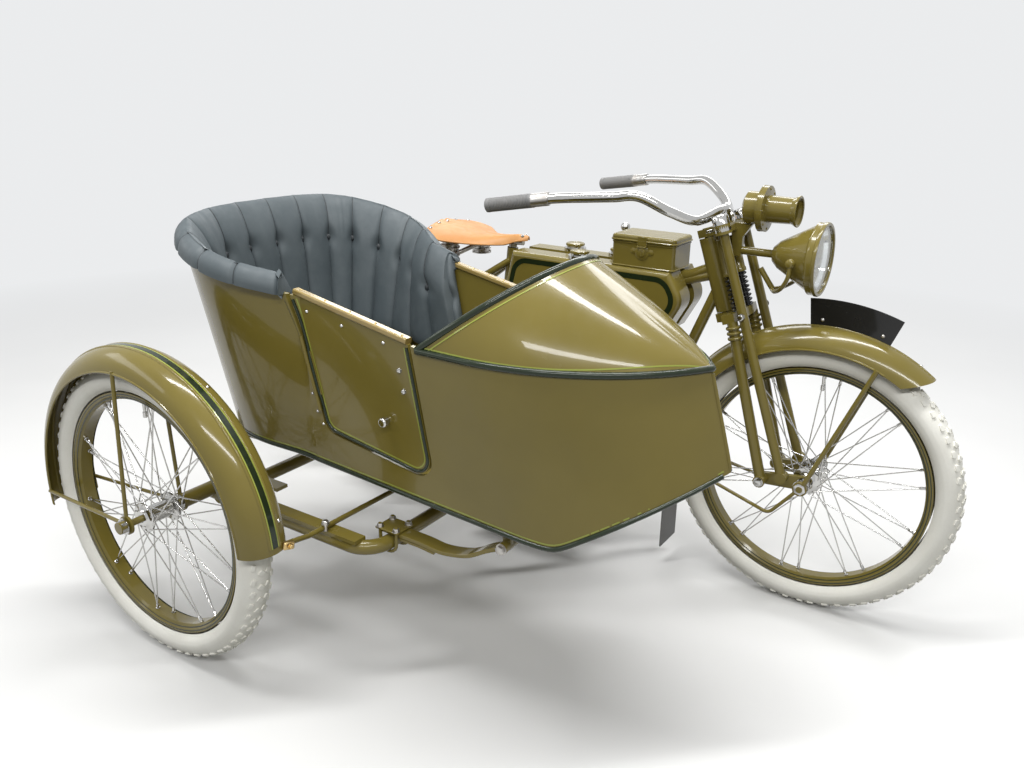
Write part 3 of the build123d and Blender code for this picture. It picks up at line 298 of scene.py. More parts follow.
class Nodes:
    """Short calls for the nodes of one tree."""

    def __init__(self, tree):
        self.tree = tree

    def add(self, kind, **settings):
        """A node with its settings."""
        node = self.tree.nodes.new("ShaderNode" + kind)
        for key, value in settings.items():
            setattr(node, key, value)
        return node

    def link(self, start, end):
        """Join two sockets, or set the end to a plain value."""
        if hasattr(start, "is_output"):
            self.tree.links.new(start, end)
        else:
            end.default_value = start

    def noise(self, vector, scale, detail=3.0, rough=0.55):
        """A noise texture's value."""
        node = self.add("TexNoise")
        self.link(vector, node.inputs["Vector"])
        self.link(scale, node.inputs["Scale"])
        node.inputs["Detail"].default_value = detail
        node.inputs["Roughness"].default_value = rough
        return node.outputs["Fac"]

    def cells(self, vector, scale):
        """A cell texture's distance."""
        node = self.add("TexVoronoi", feature="F1")
        self.link(vector, node.inputs["Vector"])
        self.link(scale, node.inputs["Scale"])
        return node.outputs["Distance"]

    def spread(self, value, low, high, to_low=0.0, to_high=1.0):
        """Move a value from one range into another."""
        node = self.add("MapRange")
        self.link(value, node.inputs["Value"])
        for label, number in (("From Min", low), ("From Max", high), ("To Min", to_low), ("To Max", to_high)):
            self.link(number, node.inputs[label])
        return node.outputs["Result"]

    def maths(self, operation, a, b=0.5):
        """One sum of two values."""
        node = self.add("Math", operation=operation)
        self.link(a, node.inputs[0])
        self.link(b, node.inputs[1])
        return node.outputs[0]

    def mix(self, factor, a, b, blend="MIX"):
        """A mix of two colours."""
        node = self.add("Mix", data_type="RGBA", blend_type=blend)
        self.link(factor, node.inputs[0])
        self.link(a, node.inputs[6])
        self.link(b, node.inputs[7])
        return node.outputs[2]


def stretched(nodes, vector, scale):
    """The vector scaled by three numbers."""
    node = nodes.add("Mapping")
    nodes.link(vector, node.inputs["Vector"])
    node.inputs["Scale"].default_value = scale
    return node.outputs["Vector"]


def seen_or_mirrored(nodes):
    """One for what the camera sees, also in a reflection or through glass, and else nothing."""
    path = nodes.add("LightPath")
    return nodes.maths("MAXIMUM", path.outputs["Is Camera Ray"],
                       nodes.maths("MAXIMUM", path.outputs["Is Glossy Ray"],
                                   path.outputs["Is Transmission Ray"]))


def make_enamel_group():
    """Brushed-on enamel: gentle colour drift, an orange-peel skin and dust on what faces up."""
    tree, start, end = new_group("EnamelSkin", ("Color",), {"Dust": 0.15, "Gloss": 0.22})
    n = Nodes(tree)
    vector = start.outputs["Vector"]
    drift = n.spread(n.noise(vector, 2.6, 4), 0.3, 0.7, 0.86, 1.1)
    shade = n.mix(1.0, start.outputs["Color"], drift, "MULTIPLY")
    geometry = n.add("NewGeometry")
    apart = n.add("SeparateXYZ")
    n.link(geometry.outputs["Normal"], apart.inputs[0])
    up = n.spread(apart.outputs["Z"], 0.2, 1.0)
    patches = n.spread(n.noise(vector, 38, 5, 0.65), 0.42, 0.75)
    dust = n.maths("MULTIPLY", n.maths("MULTIPLY", up, patches), start.outputs["Dust"])
    n.link(n.mix(dust, shade, (0.42, 0.38, 0.30, 1)), end.inputs["Color"])
    smear = n.spread(n.noise(vector, 14, 3), 0.3, 0.7, -0.04, 0.07)
    rough = n.maths("ADD", n.maths("ADD", start.outputs["Gloss"], smear), n.maths("MULTIPLY", dust, 1.2))
    n.link(rough, end.inputs["Roughness"])
    n.link(n.noise(vector, 420, 2), end.inputs["Height"])
    return tree


def make_metal_group():
    """Worked metal: tarnish in blotches, fine wipe marks and a roughness that follows them."""
    tree, start, end = new_group("WornMetal", ("Color", "Tarnish"), {"Amount": 0.4, "Gloss": 0.2})
    n = Nodes(tree)
    vector = start.outputs["Vector"]
    blotch = n.spread(n.noise(vector, 22, 6, 0.7), 0.45, 0.72)
    mask = n.maths("MULTIPLY", blotch, start.outputs["Amount"])
    n.link(n.mix(mask, start.outputs["Color"], start.outputs["Tarnish"]), end.inputs["Color"])
    wipes = n.noise(stretched(n, vector, (30, 500, 500)), 1.0, 3)
    rough = n.maths("ADD", n.maths("ADD", start.outputs["Gloss"], n.spread(wipes, 0.3, 0.7, -0.03, 0.06)),
                    n.maths("MULTIPLY", mask, 0.35))
    n.link(rough, end.inputs["Roughness"])
    n.link(n.noise(vector, 260, 4), end.inputs["Height"])
    return tree


def make_cast_group():
    """Cast metal: a sandy skin with oil stains in blotches."""
    tree, start, end = new_group("SandCast", ("Color", "Stain"), {"Amount": 0.5})
    n = Nodes(tree)
    vector = start.outputs["Vector"]
    grit = n.noise(vector, 620, 4, 0.7)
    pits = n.spread(n.cells(vector, 240), 0.0, 0.35)
    stain = n.maths("MULTIPLY", n.spread(n.noise(vector, 17, 6, 0.62), 0.44, 0.66), start.outputs["Amount"])
    n.link(n.mix(stain, start.outputs["Color"], start.outputs["Stain"]), end.inputs["Color"])
    n.link(n.spread(grit, 0.2, 0.8, 0.38, 0.62), end.inputs["Roughness"])
    n.link(n.maths("ADD", n.maths("MULTIPLY", grit, 0.6), n.maths("MULTIPLY", pits, 0.4)),
           end.inputs["Height"])
    return tree


def make_leather_group():
    """Leather: pebbled cells, long creases and a polish where it is rubbed."""
    tree, start, end = new_group("LeatherGrain", ("Color", "Worn"), {"Grain": 620.0, "Wear": 0.3})
    n = Nodes(tree)
    vector = start.outputs["Vector"]
    pebble = n.spread(n.cells(vector, start.outputs["Grain"]), 0.0, 0.6)
    crease = n.spread(n.noise(vector, 46, 6, 0.7), 0.35, 0.65)
    rub = n.maths("MULTIPLY", n.spread(n.noise(vector, 9, 5, 0.6), 0.42, 0.7), start.outputs["Wear"])
    n.link(n.mix(rub, start.outputs["Color"], start.outputs["Worn"]), end.inputs["Color"])
    n.link(n.maths("SUBTRACT", n.spread(crease, 0, 1, 0.5, 0.64), n.maths("MULTIPLY", rub, 0.15)),
           end.inputs["Roughness"])
    n.link(n.maths("ADD", n.maths("MULTIPLY", pebble, 0.45), n.maths("MULTIPLY", crease, 0.55)),
           end.inputs["Height"])
    return tree


def make_rubber_group():
    """Rubber: a chalky bloom, scuffs and road grey."""
    tree, start, end = new_group("RubberBloom", ("Color", "Grime"), {"Amount": 0.3})
    n = Nodes(tree)
    vector = start.outputs["Vector"]
    cloud = n.spread(n.noise(vector, 12, 6, 0.62), 0.38, 0.72)
    speck = n.spread(n.noise(vector, 190, 4, 0.7), 0.5, 0.75)
    dirt = n.maths("ADD", n.maths("MULTIPLY", cloud, 0.65), n.maths("MULTIPLY", speck, 0.35))
    mask = n.maths("MULTIPLY", dirt, start.outputs["Amount"])
    n.link(n.mix(mask, start.outputs["Color"], start.outputs["Grime"]), end.inputs["Color"])
    n.link(n.spread(cloud, 0, 1, 0.55, 0.74), end.inputs["Roughness"])
    n.link(n.noise(vector, 520, 3), end.inputs["Height"])
    return tree


def make_wood_group():
    """Varnished wood: long growth lines and pores along the grain."""
    tree, start, end = new_group("WoodGrain", ("Light", "Dark"), {})
    n = Nodes(tree)
    vector = start.outputs["Vector"]
    warp = n.noise(stretched(n, vector, (3, 24, 24)), 1.0, 4)
    lines = n.noise(stretched(n, vector, (5, 160, 160)), 1.0, 5, 0.6)
    tone = n.maths("ADD", n.maths("MULTIPLY", warp, 0.45), n.maths("MULTIPLY", lines, 0.55))
    n.link(n.mix(n.spread(tone, 0.36, 0.64), start.outputs["Light"], start.outputs["Dark"]),
           end.inputs["Color"])
    n.link(n.spread(lines, 0.3, 0.7, 0.2, 0.34), end.inputs["Roughness"])
    n.link(lines, end.inputs["Height"])
    return tree


# Each finish: its group, the values of the group's inputs in order, the strength of its relief, and
# what is set on the shader itself
COAT = {"Coat Weight": 0.4, "Coat Roughness": 0.05, "Specular IOR Level": 0.2}
METAL = {"Metallic": 1.0}
FINISHES = {
    "black_enamel": ("EnamelSkin", ((0.012, 0.012, 0.012), 0.1), 0.05, COAT),
    "nickel_plate": ("WornMetal", ((0.52, 0.515, 0.5), (0.34, 0.32, 0.28), 0.15, 0.09), 0.01, METAL),
    "lamp_silver": ("WornMetal", ((0.86, 0.87, 0.88), (0.6, 0.58, 0.54), 0.2, 0.06), 0.02, METAL),
    "bright_steel": ("WornMetal", ((0.46, 0.45, 0.43), (0.16, 0.11, 0.07), 0.55, 0.3), 0.12, METAL),
    "aged_brass": ("WornMetal", ((0.62, 0.45, 0.2), (0.2, 0.15, 0.08), 0.55, 0.26), 0.1, METAL),
    "cast_alloy": ("SandCast", ((0.44, 0.44, 0.42), (0.13, 0.11, 0.08), 0.6), 0.3, {"Metallic": 0.85}),
    "cast_iron": ("SandCast", ((0.085, 0.082, 0.075), (0.05, 0.035, 0.02), 0.6), 0.3, {"Metallic": 0.5}),
    "black_leather": ("LeatherGrain", ((0.072, 0.09, 0.098), (0.125, 0.146, 0.154), 620.0, 0.5), 0.3, {}),
    "button_leather": ("LeatherGrain", ((0.025, 0.03, 0.033), (0.07, 0.078, 0.082), 700.0, 0.4), 0.25, {}),
    "tan_leather": ("LeatherGrain", ((0.5, 0.22, 0.06), (0.6, 0.33, 0.11), 480.0, 0.6), 0.3,
                    {"Coat Weight": 0.12, "Coat Roughness": 0.3}),
    "white_rubber": ("RubberBloom", ((0.88, 0.87, 0.8), (0.56, 0.52, 0.43), 0.25), 0.18, {}),
    "dark_rubber": ("RubberBloom", ((0.03, 0.03, 0.031), (0.12, 0.11, 0.1), 0.45), 0.2, {}),
    "grey_rubber": ("RubberBloom", ((0.2, 0.2, 0.2), (0.3, 0.28, 0.25), 0.5), 0.2, {}),
    "golden_wood": ("WoodGrain", ((0.37, 0.27, 0.085), (0.29, 0.2, 0.055)), 0.08,
                    {"Coat Weight": 0.6, "Coat Roughness": 0.1}),
    "clear_glass": ("RubberBloom", ((0.93, 0.95, 0.95), (0.8, 0.8, 0.76), 0.12), 0.05,
                    {"Transmission Weight": 1.0, "IOR": 1.45}),
}
RELIEF_DEPTH = 0.0004
GLASS_ROUGHNESS = 0.04
GROUPS = {}
MATERIALS = {}


def finish_material(name, group, values, bump, shader):
    """A material whose colour, roughness and relief come from a shared group."""
    material = bpy.data.materials.new(name)
    material.use_nodes = True
    n = Nodes(material.node_tree)
    principled = material.node_tree.nodes["Principled BSDF"]
    coordinate = n.add("TexCoord")
    skin = n.add("Group")
    skin.node_tree = GROUPS[group]
    n.link(coordinate.outputs["Object"], skin.inputs["Vector"])
    for socket, value in zip(skin.inputs[1:], values):
        socket.default_value = (*value, 1) if socket.type == "RGBA" else value
    n.link(skin.outputs["Color"], principled.inputs["Base Color"])
    if name == "clear_glass":
        principled.inputs["Roughness"].default_value = GLASS_ROUGHNESS
    else:
        n.link(skin.outputs["Roughness"], principled.inputs["Roughness"])
    relief = n.add("Bump")
    relief.inputs["Strength"].default_value = bump
    relief.inputs["Distance"].default_value = RELIEF_DEPTH
    n.link(skin.outputs["Height"], relief.inputs["Height"])
    n.link(relief.outputs["Normal"], principled.inputs["Normal"])
    for label, value in shader.items():
        principled.inputs[label].default_value = value
    MATERIALS[name] = material


def make_materials(paint):
    """Every finish of the machine, from the colours that the user set."""
    GROUPS.update(EnamelSkin=make_enamel_group(), WornMetal=make_metal_group(),
                  SandCast=make_cast_group(), LeatherGrain=make_leather_group(),
                  RubberBloom=make_rubber_group(), WoodGrain=make_wood_group())
    finish_material("olive_enamel", "EnamelSkin", (paint.enamel, 0.03, 0.2), 0.03, COAT)
    finish_material("green_enamel", "EnamelSkin", (paint.trim, 0.08), 0.04, COAT)
    finish_material("lime_line", "EnamelSkin", (paint.line, 0.05), 0.03, COAT)
    for name, settings in FINISHES.items():
        finish_material(name, *settings)


NODE_FINISH = {
    "olive_enamel": ("car_body", "car_cowl", "car_springs", "chassis", "door", "fork", "frame", "fuel_tank",
                     "headlamp", "horn", "primary_cover", "rear_drum", "rear_stand", "spring_fork", "toolbox",
                     "toolbox_lid", "front_rim", "rear_rim", "side_rim", "front_guard", "rear_guard",
                     "side_guard"),
    "green_enamel": ("car_trim",),
    "black_enamel": ("number_plate", "footboards"),
    "nickel_plate": ("handlebar", "front_spokes", "rear_spokes", "side_spokes", "tank_fittings",
                     "door_knob"),
    "bright_steel": ("drive_chain", "rear_sprocket", "saddle_post", "exhaust"),
    "aged_brass": ("intake",),
    "cast_alloy": ("crankcase", "gearbox"),
    "cast_iron": ("front_cylinder", "rear_cylinder"),
    "black_leather": ("seat_back", "seat_cushion"),
    "tan_leather": ("saddle",),
    "white_rubber": ("front_tyre", "rear_tyre", "side_tyre"),
    "dark_rubber": ("grips",),
    "grey_rubber": ("mud_flap",),
    "golden_wood": ("door_rail", "far_rail", "seat_box"),
    "clear_glass": ("lamp_lens",),
}


# Settings that a user would change

class SidecarPaint(bpy.types.PropertyGroup):
    """Colours of the enamel, its trim and its line."""

    enamel: bpy.props.FloatVectorProperty(
        name="Enamel", description="Colour of the machine's enamel", subtype="COLOR", size=3,
        min=0, max=1, default=(0.19, 0.15, 0.03))
    trim: bpy.props.FloatVectorProperty(
        name="Trim", description="Colour of the beads and the broad stripes", subtype="COLOR", size=3,
        min=0, max=1, default=(0.012, 0.022, 0.008))
    line: bpy.props.FloatVectorProperty(
        name="Line", description="Colour of the fine line beside the trim", subtype="COLOR", size=3,
        min=0, max=1, default=(0.31, 0.35, 0.06))


class SidecarTrim(bpy.types.PropertyGroup):
    """Sizes of the trim, the tread and the upholstery."""

    line_width: bpy.props.FloatProperty(
        name="Line width", description="Width of the fine lines, in millimetres", default=2.8, min=1, max=8)
    bead_radius: bpy.props.FloatProperty(
        name="Edge bead", description="Radius of the rolled edge along the car's foot, in millimetres",
        default=5.5, min=2, max=8)
    pleats: bpy.props.IntProperty(
        name="Pleats", description="Number of pleats round the seat's back", default=15, min=6, max=24)
    tread_blocks: bpy.props.IntProperty(
        name="Tread blocks", description="Number of blocks in each row of the tread", default=64,
        min=30, max=90)


class SidecarStage(bpy.types.PropertyGroup):
    """Where the camera stands and how strong the lamps are."""

    eye: bpy.props.FloatVectorProperty(
        name="Eye", description="Where the camera stands", subtype="XYZ", unit="LENGTH", size=3,
        default=(1.268, -1.7019, 1.3061))
    turn: bpy.props.FloatProperty(
        name="Turn", description="Camera's heading from the frame's +Y towards -X", subtype="ANGLE",
        default=math.radians(33.35))
    tilt: bpy.props.FloatProperty(
        name="Tilt", description="How far the camera looks down", subtype="ANGLE",
        default=math.radians(19.32))
    roll: bpy.props.FloatProperty(
        name="Roll", description="Camera's roll", subtype="ANGLE", default=math.radians(0.86))
    lens: bpy.props.FloatProperty(
        name="Lens", description="Focal length on a 36 mm wide film, in millimetres", default=30.94,
        min=10, max=200)
    lamp_strength: bpy.props.FloatProperty(
        name="Lamps", description="Strength of all the studio lamps", default=1.0, min=0, max=5)


class SidecarOperator(bpy.types.Operator):
    """Shared settings of the builders."""

    bl_options = {"REGISTER", "UNDO"}

    @classmethod
    def poll(cls, context):
        """A builder needs a scene."""
        return context.scene is not None


class SIDECAR_OT_finishes(SidecarOperator):
    """Make the finishes and lay them on the frame's own parts"""

    bl_idname = "sidecar.finishes"
    bl_label = "Finishes"

    def execute(self, context):
        make_materials(context.scene.sidecar_paint)
        for finish, names in NODE_FINISH.items():
            for name in names:
                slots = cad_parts[name].material_slots
                for slot in slots:
                    slot.material = MATERIALS[finish]
        return {"FINISHED"}


class SIDECAR_OT_stage(SidecarOperator):
    """Lay the pale floor, hang the soft lamps and set the camera where the photograph was taken"""

    bl_idname = "sidecar.stage"
    bl_label = "Stage"

    def execute(self, context):
        stage = context.scene.sidecar_stage
        lay_floor()
        hang_lamps(stage.lamp_strength)
        set_camera(context.scene, stage)
        return {"FINISHED"}


PALE = (0.83, 0.84, 0.85, 1)
WORLD_STRENGTH = 0.22
FLOOR_BOUNCE = (0.22, 0.22, 0.21, 1)
FLOOR_HALF = 14


def lay_floor():
    """A wide pale floor that shows white to the camera and in reflections."""
    material = bpy.data.materials.new("pale_floor")
    material.use_nodes = True
    n = Nodes(material.node_tree)
    principled = material.node_tree.nodes["Principled BSDF"]
    coordinate = n.add("TexCoord")
    cloud = n.noise(coordinate.outputs["Object"], 1.3, 3)
    pale_skin = n.mix(n.spread(cloud, 0.3, 0.7), (0.73, 0.73, 0.72, 1), (0.77, 0.77, 0.76, 1))
    seen = seen_or_mirrored(n)
    n.link(n.mix(seen, FLOOR_BOUNCE, pale_skin), principled.inputs["Base Color"])
    principled.inputs["Roughness"].default_value = 0.6
    apart = n.add("SeparateXYZ")
    n.link(coordinate.outputs["Object"], apart.inputs[0])
    away = n.maths("SQRT", n.maths("ADD", n.maths("POWER", apart.outputs["X"], 2.0),
                                   n.maths("POWER", apart.outputs["Y"], 2.0)))
    fade = n.maths("MULTIPLY", n.spread(away, 1.9, 4.6), seen)
    pale = n.add("Emission")
    pale.inputs["Color"].default_value = PALE
    blend = n.add("MixShader")
    n.link(fade, blend.inputs[0])
    n.link(principled.outputs[0], blend.inputs[1])
    n.link(pale.outputs[0], blend.inputs[2])
    n.link(blend.outputs[0], material.node_tree.nodes["Material Output"].inputs["Surface"])
    mesh = bpy.data.meshes.new("floor")
    corners = ((-1, -1), (1, -1), (1, 1), (-1, 1))
    mesh.from_pydata([(x * FLOOR_HALF, y * FLOOR_HALF, 0) for x, y in corners], [], [(0, 1, 2, 3)])
    mesh.materials.append(material)
    floor = bpy.data.objects.new("floor", mesh)
    bpy.context.scene.collection.objects.link(floor)


def hang_lamps(strength):
    """Four large soft lamps and an even, pale world."""
    for name, spot, size, depth, power in (
            ("key_lamp", (2.6, -3.4, 4.2), 5.0, 0.4, 150), ("fill_lamp", (-3.6, -2.6, 3.0), 4.4, 0.9, 35),
            ("back_lamp", (-1.2, 4.2, 3.6), 4.6, 1.2, 95), ("top_lamp", (0.2, -0.2, 4.6), 5.0, 0.4, 215)):
        data = bpy.data.lights.new(name, "AREA")
        data.shape = "RECTANGLE"
        data.size = size
        data.size_y = depth
        data.energy = power * strength
        lamp = bpy.data.objects.new(name, data)
        lamp.location = spot
        lamp.rotation_euler = (Vector((0, 0, 0.45)) - Vector(spot)).to_track_quat("-Z", "Y").to_euler()
        bpy.context.scene.collection.objects.link(lamp)
    world = bpy.data.worlds.new("pale_room")
    world.use_nodes = True
    n = Nodes(world.node_tree)
    background = world.node_tree.nodes["Background"]
    background.inputs["Color"].default_value = PALE
    n.link(n.spread(seen_or_mirrored(n), 0, 1, WORLD_STRENGTH, 1.0), background.inputs["Strength"])
    bpy.context.scene.world = world


def set_camera(scene, stage):
    """The camera, from its place and its three turns."""
    data = bpy.data.cameras.new("photo_camera")
    data.lens = stage.lens
    data.sensor_width = 36
    data.clip_start = 0.05
    camera = bpy.data.objects.new("photo_camera", data)
    turn, tilt, roll = stage.turn, stage.tilt, stage.roll
    look = Vector((-math.sin(turn) * math.cos(tilt), math.cos(turn) * math.cos(tilt), -math.sin(tilt)))
    right = look.cross(Vector((0, 0, 1))).normalized()
    up = right.cross(look)
    right, up = (right * math.cos(roll) + up * math.sin(roll), up * math.cos(roll) - right * math.sin(roll))
    basis = Matrix((right, up, -look)).transposed().to_4x4()
    camera.matrix_world = Matrix.Translation(Vector(stage.eye)) @ basis
    scene.collection.objects.link(camera)
    scene.camera = camera
    scene.view_settings.view_transform = "Standard"


# Following the frame's own surfaces

TREES = {}


def tree_of(name):
    """A node's faces, gathered once."""
    if name not in TREES:
        TREES[name] = mesh_tree(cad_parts[name].data)
    return TREES[name]


def trace(names, starts, aims, reach=0.9):
    """Where lines from each start toward each aim first meet the nodes, and the faces' directions."""
    points, normals = [], []
    for start, aim in zip(starts, aims):
        hits = [lay_on(tree_of(name), start, aim - start, reach) for name in names]
        hits = [hit for hit in hits if hit]
        if hits:
            hit, normal = min(hits, key=lambda found: (found[0] - start).length)
            points.append(hit)
            normals.append(normal)
    return points, normals


def side_trace(names, places, side=-1, y=CAR_Y):
    """Points on the side of the car at places given forward and up."""
    starts = [place(x, y + side * 500, z) for x, z in places]
    aims = [place(x, y, z) for x, z in places]
    return trace(names, starts, aims)


def even_path(corners, spacing):
    """Points along straight runs, no further apart than the spacing."""
    made = [corners[0]]
    for (x0, z0), (x1, z1) in zip(corners, corners[1:]):
        count = max(1, math.ceil(math.hypot(x1 - x0, z1 - z0) / spacing))
        made.extend((x0 + (x1 - x0) * i / count, z0 + (z1 - z0) * i / count) for i in range(1, count + 1))
    return made


def inset(corners, distance):
    """An open outline moved to its left by a distance."""
    lines = []
    for (x0, z0), (x1, z1) in zip(corners, corners[1:]):
        length = math.hypot(x1 - x0, z1 - z0)
        nx, nz = -(z1 - z0) / length * distance, (x1 - x0) / length * distance
        lines.append(((x0 + nx, z0 + nz), (x1 + nx, z1 + nz)))
    made = [lines[0][0]]
    for ((ax, az), (bx, bz)), ((cx, cz), (dx, dz)) in zip(lines, lines[1:]):
        cross = (bx - ax) * (dz - cz) - (bz - az) * (dx - cx)
        t = ((cx - ax) * (dz - cz) - (cz - az) * (dx - cx)) / cross
        made.append((ax + (bx - ax) * t, az + (bz - az) * t))
    return made + [lines[-1][1]]


def round_corners(corners, radius, steps=8):
    """An open outline with its corners rounded."""
    made = [corners[0]]
    for before, here, after in zip(corners, corners[1:], corners[2:]):
        a = Vector((before[0] - here[0], before[1] - here[1])).normalized()
        b = Vector((after[0] - here[0], after[1] - here[1])).normalized()
        half = a.angle(b) / 2
        reach = radius / math.tan(half)
        start, end = Vector(here) + a * reach, Vector(here) + b * reach
        centre = Vector(here) + (a + b).normalized() * (radius / math.sin(half))
        for i in range(steps + 1):
            out = start.lerp(end, i / steps) - centre
            made.append(tuple(centre + out.normalized() * radius))
    return made + [corners[-1]]


def raised(points, normals, lift):
    """Points moved off their surface by millimetres."""
    return [p + n * (lift / 1000) for p, n in zip(points, normals)]


def smoothed(points, rounds=2):
    """Points with small steps between them evened out."""
    for _ in range(rounds):
        points = ([points[0]] + [(a + b * 2 + c) / 4 for a, b, c in zip(points, points[1:], points[2:])]
                  + [points[-1]])
    return points


# Tyres, rims and hubs

def tyre_shape(x, y, blocks):
    """A tyre's carcass with its worn centre chevrons and shoulder blocks."""
    shape = Shape()
    middle = place(x, y, TYRE_RADIUS)
    ring = TYRE_RADIUS - TYRE_SECTION
    profile = []
    for i in range(41):
        a = math.radians(-52 + 284 * i / 40)
        out = 34.6 if math.sin(a) > 0 else 30.0
        rib = 0.7 if i in (7, 9, 31, 33) else 0.0
        profile.append(((37.4 + rib) * math.cos(a), ring + (out + rib) * math.sin(a)))
    shape.lathe(middle, (0, 1, 0), profile, 128)
    pitch = math.tau / blocks
    for i in range(blocks):
        for row, (offset, lag, length, width, skew) in enumerate((
                (-24.0, 0.5, 15, 9, 0.25), (-8.6, 0.0, 13, 12, 0.75), (8.6, 0.0, 13, 12, -0.75),
                (24.0, 0.5, 15, 9, -0.25))):
            a = (i + lag) * pitch + 0.02 * noise.noise(Vector((i * 1.7, row, x)))
            lean = math.asin(offset / TYRE_SECTION)
            radial = Vector((math.cos(a), 0, math.sin(a)))
            along = Vector((-math.sin(a), 0, math.cos(a)))
            up = (radial * math.cos(lean) + Vector((0, math.sin(lean), 0))).normalized()
            across = along.cross(up)
            reach = ring + math.cos(lean) * 36.0
            spot = middle + radial * (reach / 1000) + Vector((0, offset / 1000, 0))
            turned = along * math.cos(skew) + across * math.sin(skew)
            shape.block(spot, turned, up.cross(turned), (length, width, 5.2 if row in (0, 3) else 3.8), 0.9)
    return shape


class SIDECAR_OT_tyres(SidecarOperator):
    """Make the three white tyres with their block tread"""

    bl_idname = "sidecar.tyres"
    bl_label = "Tyres"

    def execute(self, context):
        blocks = context.scene.sidecar_trim.tread_blocks
        for name, (x, y) in WHEELS.items():
            tyre = tyre_shape(x, y, blocks).build(name + "_tread_tyre", name + "_wheel", "tyre",
                                                  "white_rubber")
            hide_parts(name + "_tyre")
        return {"FINISHED"}


SPOKES_A_SIDE = 20
SPOKE_TURN = math.radians(63)
RIM_SEAT = 272
HUB_ENDS = {"front": {1: 86, -1: 86}, "rear": {1: 126, -1: 126}, "side": {1: 58, -1: 86}}
HUB_BODY = {"front": "steering", "rear": "chassis", "side": "chassis"}


class SIDECAR_OT_wheel_fittings(SidecarOperator):
    """Add the spoke nipples, the rims' dark lines (a pin line, and a painted shadow line where each rim meets
    its tyre), the valves and the hub nuts
    """

    bl_idname = "sidecar.wheel_fittings"
    bl_label = "Wheel fittings"

    def execute(self, context):
        for name, (x, y) in WHEELS.items():
            middle = place(x, y, TYRE_RADIUS)
            nipples, lines, nuts = Shape(), Shape(), Shape()
            step = math.tau / SPOKES_A_SIDE
            for side in (1, -1):
                for i in range(SPOKES_A_SIDE):
                    lean = 1 if i % 2 else -1
                    start = i * step + (step / 2 if side > 0 else 0)
                    end = start + lean * SPOKE_TURN
                    inner = middle + Vector((30 * math.cos(start), side * 35, 30 * math.sin(start))) / 1000
                    outer = middle + Vector((RIM_SEAT * math.cos(end), side * 6,
                                             RIM_SEAT * math.sin(end))) / 1000
                    nipples.lathe(outer, inner - outer, ((-1, 5), (2, 5), (3, 3.4), (12, 3.0), (15, 1.8)), 8)
                # A dark pin line low on each face of the rim.
                lines.lathe(middle, (0, 1, 0), ((side * 20.6, 276.0), (side * 20.6, 278.6),
                                                (side * 19.4, 278.6)), 96)
                # A dark ring round the rim's edge beside the tyre: painted shadow where the tyre meets the
                # rim.
                lines.lathe(middle, (0, 1, 0), ((side * 23.3, 284.0), (side * 23.3, 286.4)), 96)
            nipples.tube([middle + Vector((0, 0, 0.272)), middle + Vector((0, 0, 0.236))], [4.2, 3.2], 10)
            nipples.lathe(middle + Vector((0, 0, 0.244)), (0, 0, -1),
                          ((0, 0), (0, 5), (12, 5), (13, 4), (13, 0)), 12)
            for side in (1, -1):
                nuts.bolt(middle + Vector((0, side * HUB_ENDS[name][side] / 1000, 0)), (0, side, 0), 27, 12)
            nipples.build(name + "_nipples", name + "_wheel", "nickel", "nickel_plate")
            # The rims' dark lines: the pin lines and the painted shadow rings by the tyres.
            lines.build(name + "_rim_pin_and_shadow_lines", name + "_wheel", "green_trim", "green_enamel")
            nuts.build(name + "_axle_nuts", HUB_BODY[name], "nickel", "nickel_plate")
        return {"FINISHED"}


# Mudguards

GUARDS = {"front": ("steering", 52, 196), "rear": ("chassis", 17, 203), "side": ("chassis", 5, 188)}


GUARD_REACH = 470
GUARD_EDGE = (344.5, 57.4)


def guard_line(name, first, last, offset, count=110):
    """Points over a mudguard's crown, from one angle to another, at an offset to the left."""
    x, y = WHEELS[name]
    starts, aims = [], []
    for i in range(count + 1):
        a = math.radians(first + (last - first) * i / count)
        starts.append(place(x + GUARD_REACH * math.cos(a), y + offset,
                            TYRE_RADIUS + GUARD_REACH * math.sin(a)))
        aims.append(place(x, y + offset, TYRE_RADIUS))
    points, normals = trace((name + "_guard",), starts, aims, 0.16)
    return smoothed(points), normals


